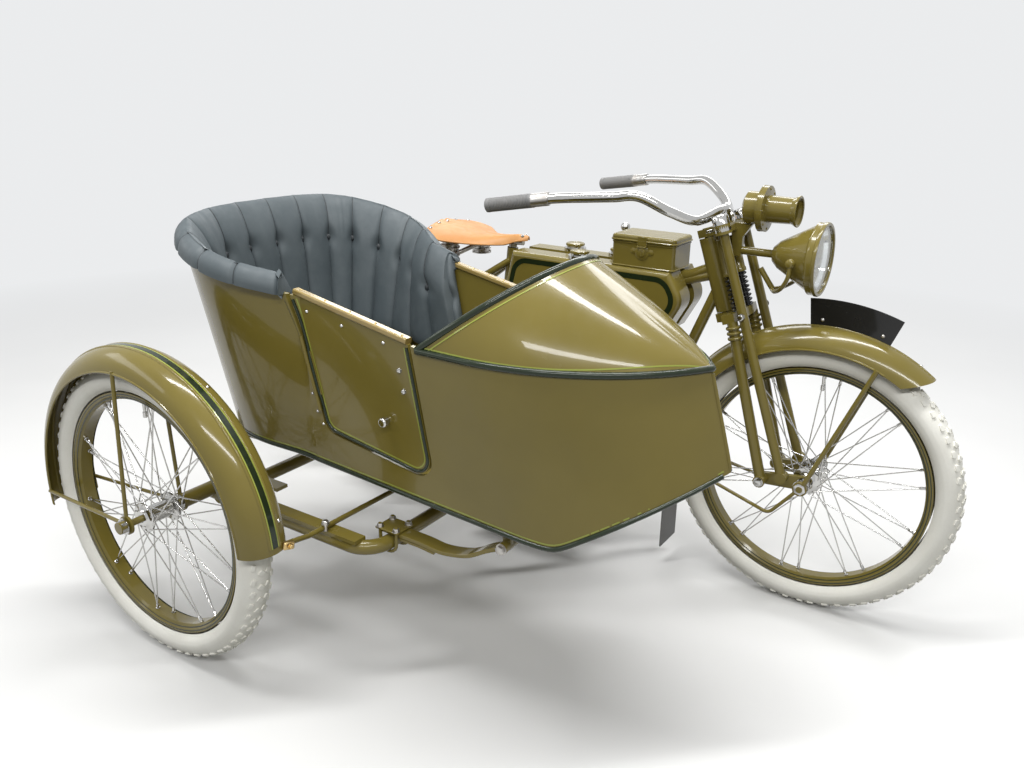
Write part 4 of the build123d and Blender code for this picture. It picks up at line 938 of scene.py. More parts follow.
class SIDECAR_OT_guard_trim(SidecarOperator):
    """Add the mudguards' raised ridges, rolled edges, bolts and the car guard's striping"""

    bl_idname = "sidecar.guard_trim"
    bl_label = "Mudguard trim"

    def execute(self, context):
        trim = context.scene.sidecar_trim
        for name, (body, first, last) in GUARDS.items():
            x, y = WHEELS[name]
            shape = Shape()
            ridges = (-13, 13) if name == "side" else (0,)
            for offset in ridges:
                points, normals = guard_line(name, first, last, offset)
                shape.tube(raised(points, normals, -1.6), 4.2, 10)
            reach, half = GUARD_EDGE
            for side in (1, -1):
                arc = [math.radians(first - 1.5 + (last - first + 3) * i / 100) for i in range(101)]
                if name == "front":
                    arc = [a for a in arc if a > math.radians(64)]
                shape.tube([place(x + reach * math.cos(a), y + side * half, TYRE_RADIUS + reach * math.sin(a))
                            for a in arc], 2.6, 8)
            shape.build(name + "_guard_ridges", body, "olive", "olive_enamel")
            bolts = Shape()
            for share in (0.04, 0.3, 0.62, 0.96):
                points, normals = guard_line(name, first, last, 24 if name == "side" else 10, 50)
                i = round(share * (len(points) - 1))
                bolts.rivet(points[i], normals[i], 4.6)
            bolts.build(name + "_guard_bolts", body, "nickel", "nickel_plate")
        stripe, lines = Shape(), Shape()
        points, normals = guard_line("side", *GUARDS["side"][1:], 0)
        ribbon(stripe, points, normals, 13.0, 0.7)
        for offset in (-8.2, 8.2):
            points, normals = guard_line("side", *GUARDS["side"][1:], offset)
            ribbon(lines, points, normals, trim.line_width, 0.8)
        bracket = Shape()
        bracket.block(place(-779, -1034, 384), (0.2, 0.6, -0.1), (0, 0, 1), (24, 17, 11), 2)
        bracket.bolt(place(-773, -1034, 384), (1, 0.1, 0), 10, 6)
        bracket.build("car_guard_bracket", "chassis", "brass", "aged_brass")
        stripe.build("car_guard_stripe", "chassis", "green_trim", "green_enamel")
        lines.build("car_guard_lines", "chassis", "green_trim", "lime_line")
        return {"FINISHED"}


# The car's beads and lines

DOOR_CORNERS = ((-907.5, 852.0), (-843.9, 561.8), (-551.9, 515.1), (-597.0, 798.0))
FOOT_HEIGHTS = (424, 660, 3)
FOOT_LENGTH = (-1240, 4, 12)
STEM_HEIGHTS = (786, 560, -6)
STEM_X = 200
COWL_REAR = -577


def lowest_side(x, side):
    """The height of the lowest point of the car's side at a distance forward, or None."""
    names = ("car_body",)
    z = next((z for z in range(*FOOT_HEIGHTS) if side_trace(names, ((x, z),), side)[0]), None)
    if z is None:
        return None
    low, high = z - 3.0, float(z)
    for _ in range(7):
        middle = (low + high) / 2
        if side_trace(names, ((x, middle),), side)[0]:
            high = middle
        else:
            low = middle
    return high


class SIDECAR_OT_body_beads(SidecarOperator):
    """Lay the car's rolled edges and their fine lines along its seams, its foot, its stem and its door"""

    bl_idname = "sidecar.body_beads"
    bl_label = "Body beads"

    def execute(self, context):
        trim = context.scene.sidecar_trim
        beads, lines, olive = Shape(), Shape(), Shape()
        for side in (1, -1):
            places = [(x, lowest_side(x, side)) for x in range(*FOOT_LENGTH)]
            places = [(x, z) for x, z in places if z]
            points, normals = side_trace(("car_body",), [(x, z + 1.5) for x, z in places], side)
            beads.tube(smoothed(points, 3), trim.bead_radius, 10)
            points, normals = side_trace(("car_body",), [(x, z + 10.5) for x, z in places], side)
            ribbon(lines, smoothed(points, 3), normals, trim.line_width, 0.5)
        for side in (1, -1):
            path, outward = cowl_line(side, 0.05, 0.022)
            ribbon(lines, path, outward, trim.line_width, 0.6)
        rolled = Shape()
        rolled.tube(arch_line(5.5, -2.5), 7.6, 14)
        foot = [(x, cowl_half(x))
                for x in [COWL_REAR + (COWL_TIP - COWL_REAR) * (i / 80) for i in range(81)]]
        foot[-1] = (COWL_TIP, 2.0)
        seam = [place(x, CAR_Y - half, COWL_SEAM) for x, half in foot]
        seam += [place(x, CAR_Y + half, COWL_SEAM) for x, half in reversed(foot)]
        rolled.tube(seam, 7.0, 16)
        path = arch_line(20.0, 0.0)
        middle = sum(path, Vector()) / len(path) - Vector((0, 0, 0.09))
        ribbon(lines, path, [(p - middle).normalized() for p in path], trim.line_width, 0.8)
        stem = [place(STEM_X, CAR_Y, z) for z in range(*STEM_HEIGHTS)]
        points, normals = trace(("car_body",), stem, [p - Vector((0.6, 0, 0)) for p in stem], 0.6)
        olive.tube(smoothed(raised(points, normals, -1.0)), 4.0, 12)
        door_edge = round_corners(inset(DOOR_CORNERS, 4.5), 32)
        points, normals = side_trace(("door",), even_path(door_edge, 9))
        door_beads, door_lines = Shape(), Shape()
        door_beads.tube(smoothed(raised(points, normals, 0.2)), 3.6, 10)
        door_line = round_corners(inset(DOOR_CORNERS, 11.5), 26)
        points, normals = side_trace(("door",), even_path(door_line, 9))
        ribbon(door_lines, smoothed(points), normals, trim.line_width, 0.5)
        door_beads.build("door_edge_bead", "door", "green_trim", "green_enamel")
        door_lines.build("door_line", "door", "green_trim", "lime_line")
        beads.build("car_edge_beads", "chassis", "green_trim", "green_enamel")
        made = rolled.build("rolled_trim", "chassis", "green_trim", "green_enamel")
        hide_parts("car_trim")
        lines.build("car_lines", "chassis", "green_trim", "lime_line")
        olive.build("car_stem_bead", "chassis", "olive_body", "olive_enamel")
        return {"FINISHED"}


class SIDECAR_OT_door_fittings(SidecarOperator):
    """Add the rivets under the door's rail, its bolts and hinge screws, and the rails' pins"""

    bl_idname = "sidecar.door_fittings"
    bl_label = "Door fittings"

    def execute(self, context):
        rivets, screws, pins, far_pins = Shape(), Shape(), Shape(), Shape()
        for shape, places, radius in ((rivets, ((-873, 829), (-774, 814), (-662, 797)), 4.2),
                                      (rivets, ((-624, 745), (-616, 701)), 6.4),
                                      (screws, ((-882, 640), (-872, 600), (-858, 572)), 3.6)):
            points, normals = side_trace(("door",) if shape is rivets else ("car_body",), places)
            for point, normal in zip(points, normals):
                shape.rivet(point, normal, radius)
        for shape, name in ((pins, "door_rail"), (far_pins, "far_rail")):
            low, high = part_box(name)
            for i in range(5):
                x = low[0] + (high[0] - low[0]) * (0.05 + 0.9 * i / 4)
                y = (low[1] + high[1]) / 2
                hit = lay_on(tree_of(name), (x, y, high[2] + 0.1), (0, 0, -1))
                if hit:
                    shape.rivet(hit[0], hit[1], 2.6)
        rivets.build("door_rivets", "door", "nickel", "nickel_plate")
        screws.build("hinge_screws", "chassis", "nickel", "nickel_plate")
        pins.build("door_rail_pins", "door", "brass", "aged_brass")
        far_pins.build("far_rail_pins", "chassis", "brass", "aged_brass")
        return {"FINISHED"}


# Upholstery

def remeshed(obj, voxel):
    """Give a closed piece an even mesh of small faces."""
    modifier = obj.modifiers.new("even", "REMESH")
    modifier.mode = "VOXEL"
    modifier.voxel_size = voxel / 1000
    made = bpy.data.meshes.new_from_object(obj.evaluated_get(bpy.context.evaluated_depsgraph_get()))
    obj.modifiers.clear()
    obj.data = made


def puffed(obj, held, pressure, cap, frames=20):
    """Blow a padded piece up as cloth, with the held vertices sewn down and no point moved past the cap."""
    scene = bpy.context.scene
    obj.vertex_groups.new(name="sewn").add(held, 1.0, "REPLACE")
    cloth = obj.modifiers.new("cloth", "CLOTH")
    cloth.settings.vertex_group_mass = "sewn"
    cloth.settings.use_pressure = True
    cloth.settings.uniform_pressure_force = pressure
    cloth.settings.effector_weights.gravity = 0
    cloth.settings.quality = 4
    cloth.collision_settings.use_collision = False
    for step in range(1, frames + 1):
        scene.frame_set(step)
    blown = [v.co.copy() for v in obj.evaluated_get(bpy.context.evaluated_depsgraph_get()).data.vertices]
    obj.modifiers.clear()
    obj.vertex_groups.clear()
    scene.frame_set(1)
    for vertex, place_now in zip(obj.data.vertices, blown):
        move = place_now - vertex.co
        if move.length > cap / 1000:
            move *= cap / 1000 / move.length
        vertex.co += move


def near_points(obj, points, reach):
    """The vertices of a piece that lie within millimetres of any of the points."""
    tree = KDTree(len(points))
    for i, point in enumerate(points):
        tree.insert(point, i)
    tree.balance()
    return [v.index for v in obj.data.vertices if tree.find(v.co)[2] < reach / 1000]


TUB_FRONT = -907
TUB_CENTRE = -1075
TUB_REACH = 600


def tub_top(x):
    """How high the tub's rim stands at a distance forward."""
    return 862 + (TUB_FRONT - x) * 123 / 438


def back_stations(count):
    """Places round the tub in plan, from the near side's front to the far side's, with the aim of each."""
    made = []
    for i in range(count + 1):
        t = i / count
        if t < 0.16:
            x = -926 - (-926 - TUB_CENTRE) * t / 0.16
            made.append(((x, CAR_Y - 500), (x, CAR_Y)))
        elif t > 0.8:
            x = TUB_CENTRE + (-842 - TUB_CENTRE) * (t - 0.8) / 0.2
            made.append(((x, CAR_Y + 500), (x, CAR_Y)))
        else:
            a = math.radians(-90 - 180 * (t - 0.16) / 0.64)
            made.append(((TUB_CENTRE + TUB_REACH * math.cos(a), CAR_Y + TUB_REACH * math.sin(a)),
                         (TUB_CENTRE, CAR_Y)))
    return made


BUTTON_DROP = 105


def tuft_depth(s, drop, pitch):
    """How far in the padding is drawn at a place: along the rim, down from its top, in millimetres."""
    across = abs((s / pitch) % 1.0 - 0.5) * 2
    depth = 9.0 * across ** 3 + 6.5 * across ** 16
    to_button = math.hypot((1 - across) * pitch / 2, (drop - BUTTON_DROP) * 0.75)
    fade = min(1.0, 0.3 + drop / 120)
    return depth * fade + 9.5 * math.exp(-(to_button / 15) ** 2)


class SIDECAR_OT_seat_back(SidecarOperator):
    """Make the buttoned and pleated back with its roll over the tub's rim"""

    bl_idname = "sidecar.seat_back"
    bl_label = "Seat back"

    def execute(self, context):
        pleats = context.scene.sidecar_trim.pleats
        stations = back_stations(300)
        foot = 642.0
        walls = []
        for i, ((sx, sy), (ax, ay)) in enumerate(stations):
            t = i / (len(stations) - 1)
            shear = 0.22 * max(0.0, 1 - t / 0.16) if t < 0.5 else 0.27 * max(0.0, (t - 0.8) / 0.2)
            column = []
            for k in range(7):
                z = foot + (tub_top(TUB_FRONT) - 12 - foot) * k / 6
                lean = shear * max(0.0, tub_top(sx if t < 0.16 or t > 0.8 else -1200) - z)
                found = trace(("car_body",), [place(sx + lean, sy, z)], [place(ax + lean, ay, z)], 0.7)[0]
                if found:
                    column.append((z, found[0]))
            walls.append(column)
        rows, buttons, seams = [], Shape(), Shape()
        length, tops, previous = 0.0, [], None
        crest = smoothed([column[-1][1] for column in walls], 6)
        for i, column in enumerate(walls):
            point = crest[i]
            ahead = crest[min(i + 3, len(crest) - 1)] - crest[max(i - 3, 0)]
            flat = Vector((-ahead.y, ahead.x, 0)).normalized()
            if flat.dot(point - place(-1040, CAR_Y, 0)) < 0:
                flat = -flat
            if previous is not None:
                length += (point - previous).length * 1000
            previous = point
            tops.append((length, tub_top(point.x * 1000 - ORIGIN_BACK), point, flat, column))
        pitch = length / pleats
        for s, top, point, flat, column in tops:
            rows.append(back_profile(s, top, column, flat, pitch, foot))
        shape = Shape()
        shape.grid(rows, closed_v=True)
        for row, flat in ((rows[0], tops[0][3]), (rows[-1], tops[-1][3])):
            end_cap(shape, row, Vector((1, 0, 0)) - flat * 0.2)
        back = shape.build("tufted_back", "chassis", "black_leather", "black_leather", merge=0.05)
        sewn = []
        for i, row in enumerate(rows):
            across = abs((tops[i][0] / pitch) % 1.0 - 0.5) * 2
            if across > 0.9 or i < 3 or i > len(rows) - 4:
                sewn += row
            else:
                sewn += row[:3] + row[52:]
        puffed(back, near_points(back, sewn, 0.3), 2.5, 5.0)
        back.data.shade_smooth()
        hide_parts("seat_back")
        for n in range(pleats):
            s = (n + 1) * pitch
            if s > length - 20:
                continue
            i = min(range(len(tops)), key=lambda k: abs(tops[k][0] - s))
            row = rows[i]
            j = min(range(len(row) // 2), key=lambda k: abs(row[k].z * 1000 - (tops[i][1] - 66)))
            inward = -tops[i][3]
            seams.tube(smoothed(row[j:57], 1), 1.5, 6)
            spot = row[j] + inward * 0.002
            buttons.lathe(spot, inward, ((-3, 8.5), (1.5, 8.5), (4.0, 6.5), (5.2, 3.0), (5.4, 0)), 16)
        buttons.build("back_buttons", "chassis", "black_leather", "button_leather")
        seams.build("back_seams", "chassis", "black_leather", "button_leather")
        return {"FINISHED"}


def end_cap(shape, row, swell):
    """Close a padded profile with a rounded end that bulges along one direction."""
    count = len(row)
    across = [swell.cross((row[(i + 1) % count] - row[i - 1]).normalized()) for i in range(count)]
    highest = max(range(count), key=lambda k: row[k].z)
    sign = -1 if across[highest].z > 0 else 1
    rings = [row]
    for inward, out in ((1.2, 3.6), (4.0, 6.8), (7.6, 9.0), (11.5, 10.2)):
        rings.append([p + across[i] * (sign * inward / 1000) + swell * (out / 1000)
                      for i, p in enumerate(row)])
    shape.grid(rings, closed_v=True)
    shape.add(rings[-1], tessellate_polygon([rings[-1]]))


def back_profile(s, top, column, flat, pitch, foot):
    """The back's closed outline at one place round the tub, from its foot up, over the roll and down."""
    def wall(z):
        """The place on the tub's wall at a height."""
        i = 0
        while i < len(column) - 2 and column[i + 1][0] < z:
            i += 1
        low, high = column[i], column[i + 1]
        return low[1].lerp(high[1], (z - low[0]) / (high[0] - low[0]))

    inward = -flat
    made = []
    crest = top + 42
    steps = 44
    for k in range(steps + 1):
        drop = (crest - foot) * (1 - k / steps) ** 1.25
        z = crest - drop
        depth = (18 + 39 * math.sin(min(1.0, drop / BUTTON_DROP) * math.pi / 2) ** 0.62
                 - 10 * math.exp(-(z - foot) / 16))
        base = wall(z)
        wrinkle = 0.8 * noise.noise(Vector((s / 50, z / 80, 3.1)))
        inner = depth - tuft_depth(s, drop, pitch) + wrinkle
        made.append(Vector((base.x, base.y, z / 1000)) + inward * (inner / 1000))
    across = abs((s / pitch) % 1.0 - 0.5) * 2
    seam = max(0.0, across - 0.78) / 0.22
    pinch = 1 - 0.13 * seam ** 2
    rim = wall(top)
    for k in range(1, 11):
        a = math.pi / 2 + math.pi / 2 * k / 10
        swell = 1 + 0.015 * noise.noise(Vector((s / 40, a * 2, 7.7)))
        out = 18.0 + 37.0 * pinch * swell * math.cos(a)
        up = top - 1 + 43.0 * pinch * swell * math.sin(a) ** 0.8
        made.append(Vector((rim.x, rim.y, up / 1000)) + inward * (out / 1000))
    for z_step, out in ((top + 0.6, -15.0), (top + 0.4, -6.0), (top - 2, 11.5)):
        made.append(Vector((rim.x, rim.y, z_step / 1000)) + inward * (out / 1000))
    for k in range(5):
        z = top - 20 - (top - 20 - foot) * k / 4
        base = wall(z)
        made.append(Vector((base.x, base.y, z / 1000)) + inward * 0.0115)
    return made


SEAT_BUTTONS = ((-960, -60), (-960, 60), (-1130, -60), (-1130, 60))


def cushion_outline(count):
    """The seat's outline in plan, found on the solid at half its height."""
    low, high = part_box("seat_cushion")
    middle = (Vector(low) + Vector(high)) / 2
    rays = [Vector((math.cos(a), math.sin(a), 0)) for a in even_angles(count)]
    points = trace(("seat_cushion",), [middle + ray * 0.6 for ray in rays], [middle] * count)[0]
    return [(p.x * 1000 - ORIGIN_BACK, p.y * 1000 - ORIGIN_RIGHT) for p in points]


class SIDECAR_OT_seat_cushion(SidecarOperator):
    """Make the car's crowned seat cushion with its piping and buttons"""

    bl_idname = "sidecar.seat_cushion"
    bl_label = "Seat cushion"

    def execute(self, context):
        low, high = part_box("seat_cushion")
        outline = cushion_outline(120)
        base, top = low[2] * 1000 + 0.5, high[2] * 1000
        centre = ((low[0] + high[0]) * 500 - ORIGIN_BACK, CAR_Y)
        rings = []
        for share, z in ((0.02, base), (0.5, base), (0.94, base), (0.985, base + 6), (1.0, base + 26),
                         (1.0, base + 52), (0.992, top - 30), (0.975, top - 18), (0.94, top - 9),
                         (0.86, top - 3), (0.7, top + 1), (0.5, top + 3), (0.25, top + 3.5)):
            ring = []
            for x, y in outline:
                px = centre[0] + (x - centre[0]) * share
                py = centre[1] + (y - centre[1]) * share
                lift = 0.0
                if z > top - 12:
                    for bx, by in SEAT_BUTTONS:
                        lift -= 11 * math.exp(-(((px - bx) ** 2 + (py - CAR_Y - by) ** 2) / 1500))
                    lift += 1.5 * noise.noise(Vector((px / 60, py / 60, 1.0)))
                ring.append(place(px, py, z + lift - 6))
            rings.append(ring)
        shape = Shape()
        shape.grid(rings, closed_v=True)
        shape.fan(rings[0], sum(rings[0], Vector()) / 120, flip=True)
        shape.fan(rings[-1], sum(rings[-1], Vector()) / 120)
        pad = shape.build("seat_pad", "chassis", "black_leather", "black_leather", merge=0.05)
        remeshed(pad, 6.0)
        skin = mesh_tree(pad.data)
        spots = [lay_on(skin, place(x, CAR_Y + y, top + 200), (0, 0, -1))[0] for x, y in SEAT_BUTTONS]
        sewn = near_points(pad, [p for k in (0, 1, 2, 4, 7) for p in rings[k]], 4.5)
        puffed(pad, sewn + near_points(pad, spots, 9.0), 4.0, 9.0)
        pad.data.shade_smooth()
        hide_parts("seat_cushion")
        piping = Shape()
        for spot in spots:
            piping.lathe(spot, (0, 0, 1), ((-4, 9), (0.5, 9), (3.0, 7), (4.2, 3.5), (4.5, 0)), 18)
        for k in (4, 7):
            piping.tube([p + Vector((0, 0, 0.001)) for p in rings[k]], 3.4, 8, closed=True)
        piping.build("seat_piping", "chassis", "black_leather", "button_leather")
        return {"FINISHED"}


# Saddle

def saddle_point(u, v):
    """A place on the saddle's top: u from its nose to its cantle, v from one side to the other."""
    half = 20 + 118 * min(1.0, max(0.0, (u - 0.12) / 0.62)) ** 1.35 - 14 * max(0.0, (u - 0.82) / 0.18) ** 2
    x = -862 - 306 * u
    crown = 882 - 16 * math.sin(math.pi * min(1.0, u * 1.15)) + 6 * u
    flare = 22 * (abs(v) ** 2.6) * (1.15 - 0.35 * u) * min(1.0, 0.3 + u / 0.3)
    ridge = 4.5 * math.exp(-(v / 0.16) ** 2) * (0.2 + 0.8 * u)
    cup = 7 * math.exp(-(((abs(v) - 0.5) / 0.3) ** 2)) * max(0.0, u - 0.35)
    back = 9 * max(0.0, (u - 0.84) / 0.16) ** 2
    if u > 0.9:
        half *= math.sqrt(max(0.0, 1 - ((u - 0.9) / 0.115) ** 2))
    if u < 0.1:
        half *= math.sqrt(1 - ((0.1 - u) / 0.104) ** 2)
    droop = 9 * max(0.0, (0.16 - u) / 0.16) ** 2
    return Vector((x, v * half, crown - flare - ridge - cup + back - droop))


class SIDECAR_OT_saddle(SidecarOperator):
    """Make the sprung leather saddle with its rivets, welt, coils and the coils' seats"""

    bl_idname = "sidecar.saddle"
    bl_label = "Saddle"

    def execute(self, context):
        rows_top, rows_under = [], []
        across = 36
        for i in range(61):
            u = i / 60
            row = [saddle_point(u, -1 + 2 * j / across) for j in range(across + 1)]
            rows_top.append([place(*p) for p in row])
            rows_under.append([place(p.x, p.y * 0.985, p.z - 5) for p in row])
        shape = Shape()
        rings = [top + list(reversed(under)) for top, under in zip(rows_top, rows_under)]
        shape.grid(rings, closed_v=True)
        shape.fan(rings[0], sum(rings[0], Vector()) / len(rings[0]), flip=True)
        shape.fan(rings[-1], sum(rings[-1], Vector()) / len(rings[-1]))
        leather = shape.build("saddle_leather", "chassis", "tan_leather", "tan_leather", merge=0.05)
        leather.data.shade_smooth()
        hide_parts("saddle")
        rivets, coils, welt = Shape(), Shape(), Shape()
        for u, v in ((0.93, -0.72), (0.955, -0.36), (0.96, 0.0), (0.955, 0.36), (0.93, 0.72),
                     (0.05, -0.5), (0.05, 0.5)):
            spot = place(*saddle_point(u, v))
            rivets.rivet(spot, (-0.25 if u > 0.5 else 0.3, 0, 1), 5.5)
        for side in (1, -1):
            edge = [place(*(saddle_point(i / 60, side) + Vector((0, 0, -2)))) for i in range(2, 60)]
            welt.tube(smoothed(edge), 2.6, 8)
            coils.tube(spring_points(place(-1085, side * 80, 794), place(-1085, side * 80, 860), 27, 5.5),
                       3.0, 8)
            coils.lathe(place(-1085, side * 80, 790), (0, 0, 1), ((0, 8), (0, 30), (3, 30), (3, 8)), 24)
        rivets.build("saddle_rivets", "chassis", "nickel", "nickel_plate")
        coils.build("saddle_coils", "chassis", "steel", "bright_steel")
        welt.build("saddle_welt", "chassis", "tan_leather", "tan_leather")
        return {"FINISHED"}


# Handlebar, lamp and fork

class SIDECAR_OT_grips(SidecarOperator):
    """Make the ribbed rubber grips and the bright sleeves ahead of them"""

    bl_idname = "sidecar.grips"
    bl_label = "Grips"

    def execute(self, context):
        rubber, sleeves = Shape(), Shape()
        for side in (1, -1):
            start, end = place(-614, side * 271, 1029), place(-796, side * 306, 999)
            along = end - start
            length = along.length * 1000
            first = length * 0.1 + 0.5
            profile = [(first + 44, 12.9), (first + 44, 16.5), (first + 48, 17.8)]
            ribs = 26
            for i in range(ribs):
                at = first + 50 + (length - first - 62) * i / ribs
                step = (length - first - 62) / ribs
                profile += [(at, 17.6), (at + step * 0.25, 16.2), (at + step * 0.45, 16.2),
                            (at + step * 0.7, 17.6)]
            profile += [(length - 9, 17.9), (length - 3, 17.6), (length - 0.4, 14.0), (length - 0.4, 0)]
            rubber.lathe(start, along, profile, 28)
            sleeves.lathe(start, along, ((first, 12.8), (first, 15.8), (first + 2, 16.6), (first + 38, 16.6),
                                         (first + 40, 17.6), (first + 43.5, 17.6), (first + 43.5, 12.8)), 28)
        grip = rubber.build("ribbed_grips", "steering", "grip", "grey_rubber")
        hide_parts("grips")
        sleeves.build("grip_sleeves", "steering", "nickel", "bright_steel")
        return {"FINISHED"}


LAMP_HEIGHT = 906
HORN_HEIGHT = 1012
SPRING_AHEAD = 42
SPRING_OUT = 36
LEG_AHEAD = 66.5
LEG_OUT = 74


class SIDECAR_OT_headlamp(SidecarOperator):
    """Add the lamp's reflector, burner, rim and forked bracket, and the horn's rivets and rings"""

    bl_idname = "sidecar.headlamp"
    bl_label = "Headlamp and horn"

    def execute(self, context):
        middle = place(0, 0, LAMP_HEIGHT)
        mirror, rim, arms, burner = Shape(), Shape(), Shape(), Shape()
        bowl = []
        for i in range(25):
            t = i / 24
            bowl.append((-129.0 + 76.5 * t ** 1.9, 6 + 70.6 * t))
        mirror.lathe(middle, (1, 0, 0), bowl, 72)
        mirror.lathe(middle, (1, 0, 0), ((-129, 6), (-129, 0)), 72)
        rim.lathe(middle, (1, 0, 0), ((-45, 86.2), (-43, 88.0), (-38, 88.0), (-35.6, 86.6), (-35.6, 80.5),
                                      (-38.5, 79.2)), 72)
        rim.lathe(middle, (1, 0, 0), ((-60, 84.4), (-58, 86.4), (-55, 86.4), (-53, 85.0)), 72)
        burner.lathe(middle, (1, 0, 0), ((-126, 0), (-126, 9), (-112, 9), (-110, 6), (-96, 6), (-94, 3),
                                         (-90, 2.6), (-84, 4.2), (-80, 3.4), (-76, 0)), 20)
        for side in (1, -1):
            arm = smooth_path([place(x, side * y, z) for x, y, z in (
                (-96, 70, 900), (-96, 74, 868), (-112, 62, 838), (-134, 34, 822), (-150, 6, 820))], 8)
            arms.tube(arm, 5.2, 10)
            arms.lathe(place(-96, side * 60, 900), (0, side, 0),
                       ((0, 11), (10, 11), (12, 9), (18, 9), (19.5, 7), (19.5, 0)), 20)
        arms.tube(smooth_path([place(-150, 0, 820), place(-164, 0, 838), place(-186, 0, 868)], 6), 7, 12)
        mirror.build("lamp_mirror", "steering", "nickel", "lamp_silver")
        rim.build("lamp_rim", "steering", "olive", "olive_enamel")
        arms.build("lamp_arms", "steering", "olive", "olive_enamel")
        burner.build("lamp_burner", "steering", "brass", "aged_brass")
        horn = Shape()
        spot = place(0, 0, HORN_HEIGHT)
        for a in even_angles(8):
            out = Vector((0, math.cos(a), math.sin(a)))
            horn.rivet(spot + Vector((-0.182, 0, 0)) + out * 0.047, (1, 0, 0), 3.4)
        horn.lathe(spot, (1, 0, 0), ((-197, 52), (-197, 55.6), (-194, 55.6), (-194, 52)), 56)
        horn.lathe(spot, (1, 0, 0), ((-112, 34.6), (-110, 37.4), (-107.6, 37.4), (-106.6, 35.6),
                                     (-108, 31.5)), 48)
        horn.build("horn_trim", "steering", "olive", "olive_enamel")
        return {"FINISHED"}


class SIDECAR_OT_fork_fittings(SidecarOperator):
    """Add the fork's coil springs, plated caps, collars and bolts"""

    bl_idname = "sidecar.fork_fittings"
    bl_label = "Fork fittings"

    def execute(self, context):
        coils, caps, collars, bolts = Shape(), Shape(), Shape(), Shape()
        for side in (1, -1):
            y = side * SPRING_OUT
            coil = spring_points(steer(104, SPRING_AHEAD, y), steer(194, SPRING_AHEAD, y), 12.5, 8)
            coils.tube(coil, 2.6, 8)
            coils.tube([steer(100, SPRING_AHEAD, y), steer(200, SPRING_AHEAD, y)], 7.5, 12)
            collars.lathe(steer(10, SPRING_AHEAD, y), DOWN,
                          ((0, 0), (0, 13), (2, 15), (84, 15), (86, 16.5), (94, 16.5), (95, 15), (95, 0)), 24)
            caps.lathe(steer(-46, LEG_AHEAD, side * LEG_OUT), -DOWN,
                       ((-42, 16.4), (-42, 20.6), (-38, 21.2), (-4, 20.6), (0.6, 17), (2.6, 9), (3, 0)), 28)
            foot, head = place(-104, side * LEG_OUT, 345), place(-218, side * LEG_OUT, 742)
            along = (foot - head).normalized()
            for i in range(3):
                collars.lathe(head + along * (0.012 + 0.013 * i), along,
                              ((0, 13.4), (0, 17), (2, 18.4), (5, 18.4), (7, 17), (7, 13.4)), 28)
            for x, z, across in ((0, TYRE_RADIUS, 24), (-104, 345, 17)):
                bolts.bolt(place(x, side * 60.2 if x == 0 else side * 90, z), (0, side, 0), across, 9)
            bolts.bolt(steer(204, LEG_AHEAD, side * 90), (0, side, 0), 14, 7)
            bolts.bolt(steer(-12, 30, side * 66), -DOWN, 15, 7)
        coils.build("fork_coils", "steering", "black", "black_enamel")
        caps.build("fork_caps", "steering", "nickel", "nickel_plate")
        collars.build("fork_collars", "steering", "olive", "olive_enamel")
        bolts.build("fork_bolts", "steering", "nickel", "nickel_plate")
        plate, flap = Shape(), Shape()
        for side in (1, -1):
            for a in (73, 93):
                direction = math.radians(a)
                spot = place(408 * math.cos(direction), side * 1.2, TYRE_RADIUS + 408 * math.sin(direction))
                plate.rivet(spot, (0, side, 0), 5)
        for y in (-36, 0, 36):
            flap.bolt(place(-373.4, y, 203), (-1, 0, 0), 9, 5)
            flap.bolt(place(-369.2, y, 203), (1, 0, 0), 9, 5)
        plate.build("plate_bolts", "steering", "nickel", "bright_steel")
        flap.build("flap_bolts", "steering", "nickel", "bright_steel")
        return {"FINISHED"}


# Cowl and handlebar

COWL_TIP = -63.0
COWL_ARC = 470.0
COWL_WIDE = 240.0
COWL_SEAM = 795
COWL_SHOULDER = COWL_TIP - math.sqrt(COWL_ARC ** 2 - (COWL_ARC - COWL_WIDE) ** 2)
ARCH_FOOT = Vector((-581.0, 800.0))
ARCH_TOP = Vector((-357.0, 970.0))


def cowl_half(x):
    """Half the cowl's width at its seam, at a distance forward."""
    if x <= COWL_SHOULDER:
        return COWL_WIDE
    return max(0.5, COWL_WIDE - COWL_ARC + math.sqrt(max(0.0, COWL_ARC ** 2 - (x - COWL_SHOULDER) ** 2)))


def cowl_point(x, t, side, inset=0.0):
    """A point of the cowl: t goes from the seam at 0 to the ridge at 1, over a bulging side."""
    half = cowl_half(x) - inset
    ridge = COWL_SEAM + 175 * (x - COWL_TIP) / (ARCH_TOP.x - COWL_TIP) - inset * 1.2
    rise = max(ridge - COWL_SEAM, 0.1)
    a, c = Vector((half, 0.0)), Vector((0.0, rise))
    b = Vector((half / 2 + 0.16 * rise, rise / 2 + 0.16 * half))
    chord = c - a
    bow = abs(chord.normalized().cross(b - (a + c) / 2))
    radius = (chord.length ** 2 / 4 + bow ** 2) / (2 * bow)
    inner = (a + c) / 2 - (b - (a + c) / 2).normalized() * (radius - bow)
    start, end = math.atan2(a.y - inner.y, a.x - inner.x), math.atan2(c.y - inner.y, c.x - inner.x)
    turn = start + (end - start) * t
    return Vector((x, CAR_Y + side * max(0.0, inner.x + radius * math.cos(turn)),
                   COWL_SEAM + inner.y + radius * math.sin(turn)))


def cowl_start(t, side, offset=0.0, inset=0.0):
    """How far forward the arch, moved ahead by an offset, meets the cowl at a share of its height."""
    run = (ARCH_TOP - ARCH_FOOT).normalized()
    ahead = Vector((run.y, -run.x))
    low, high = -640.0, -200.0
    for _ in range(30):
        x = (low + high) / 2
        p = cowl_point(x, t, side, inset)
        if (Vector((p.x, p.z)) - ARCH_FOOT).dot(ahead) < offset:
            low = x
        else:
            high = x
    return (low + high) / 2


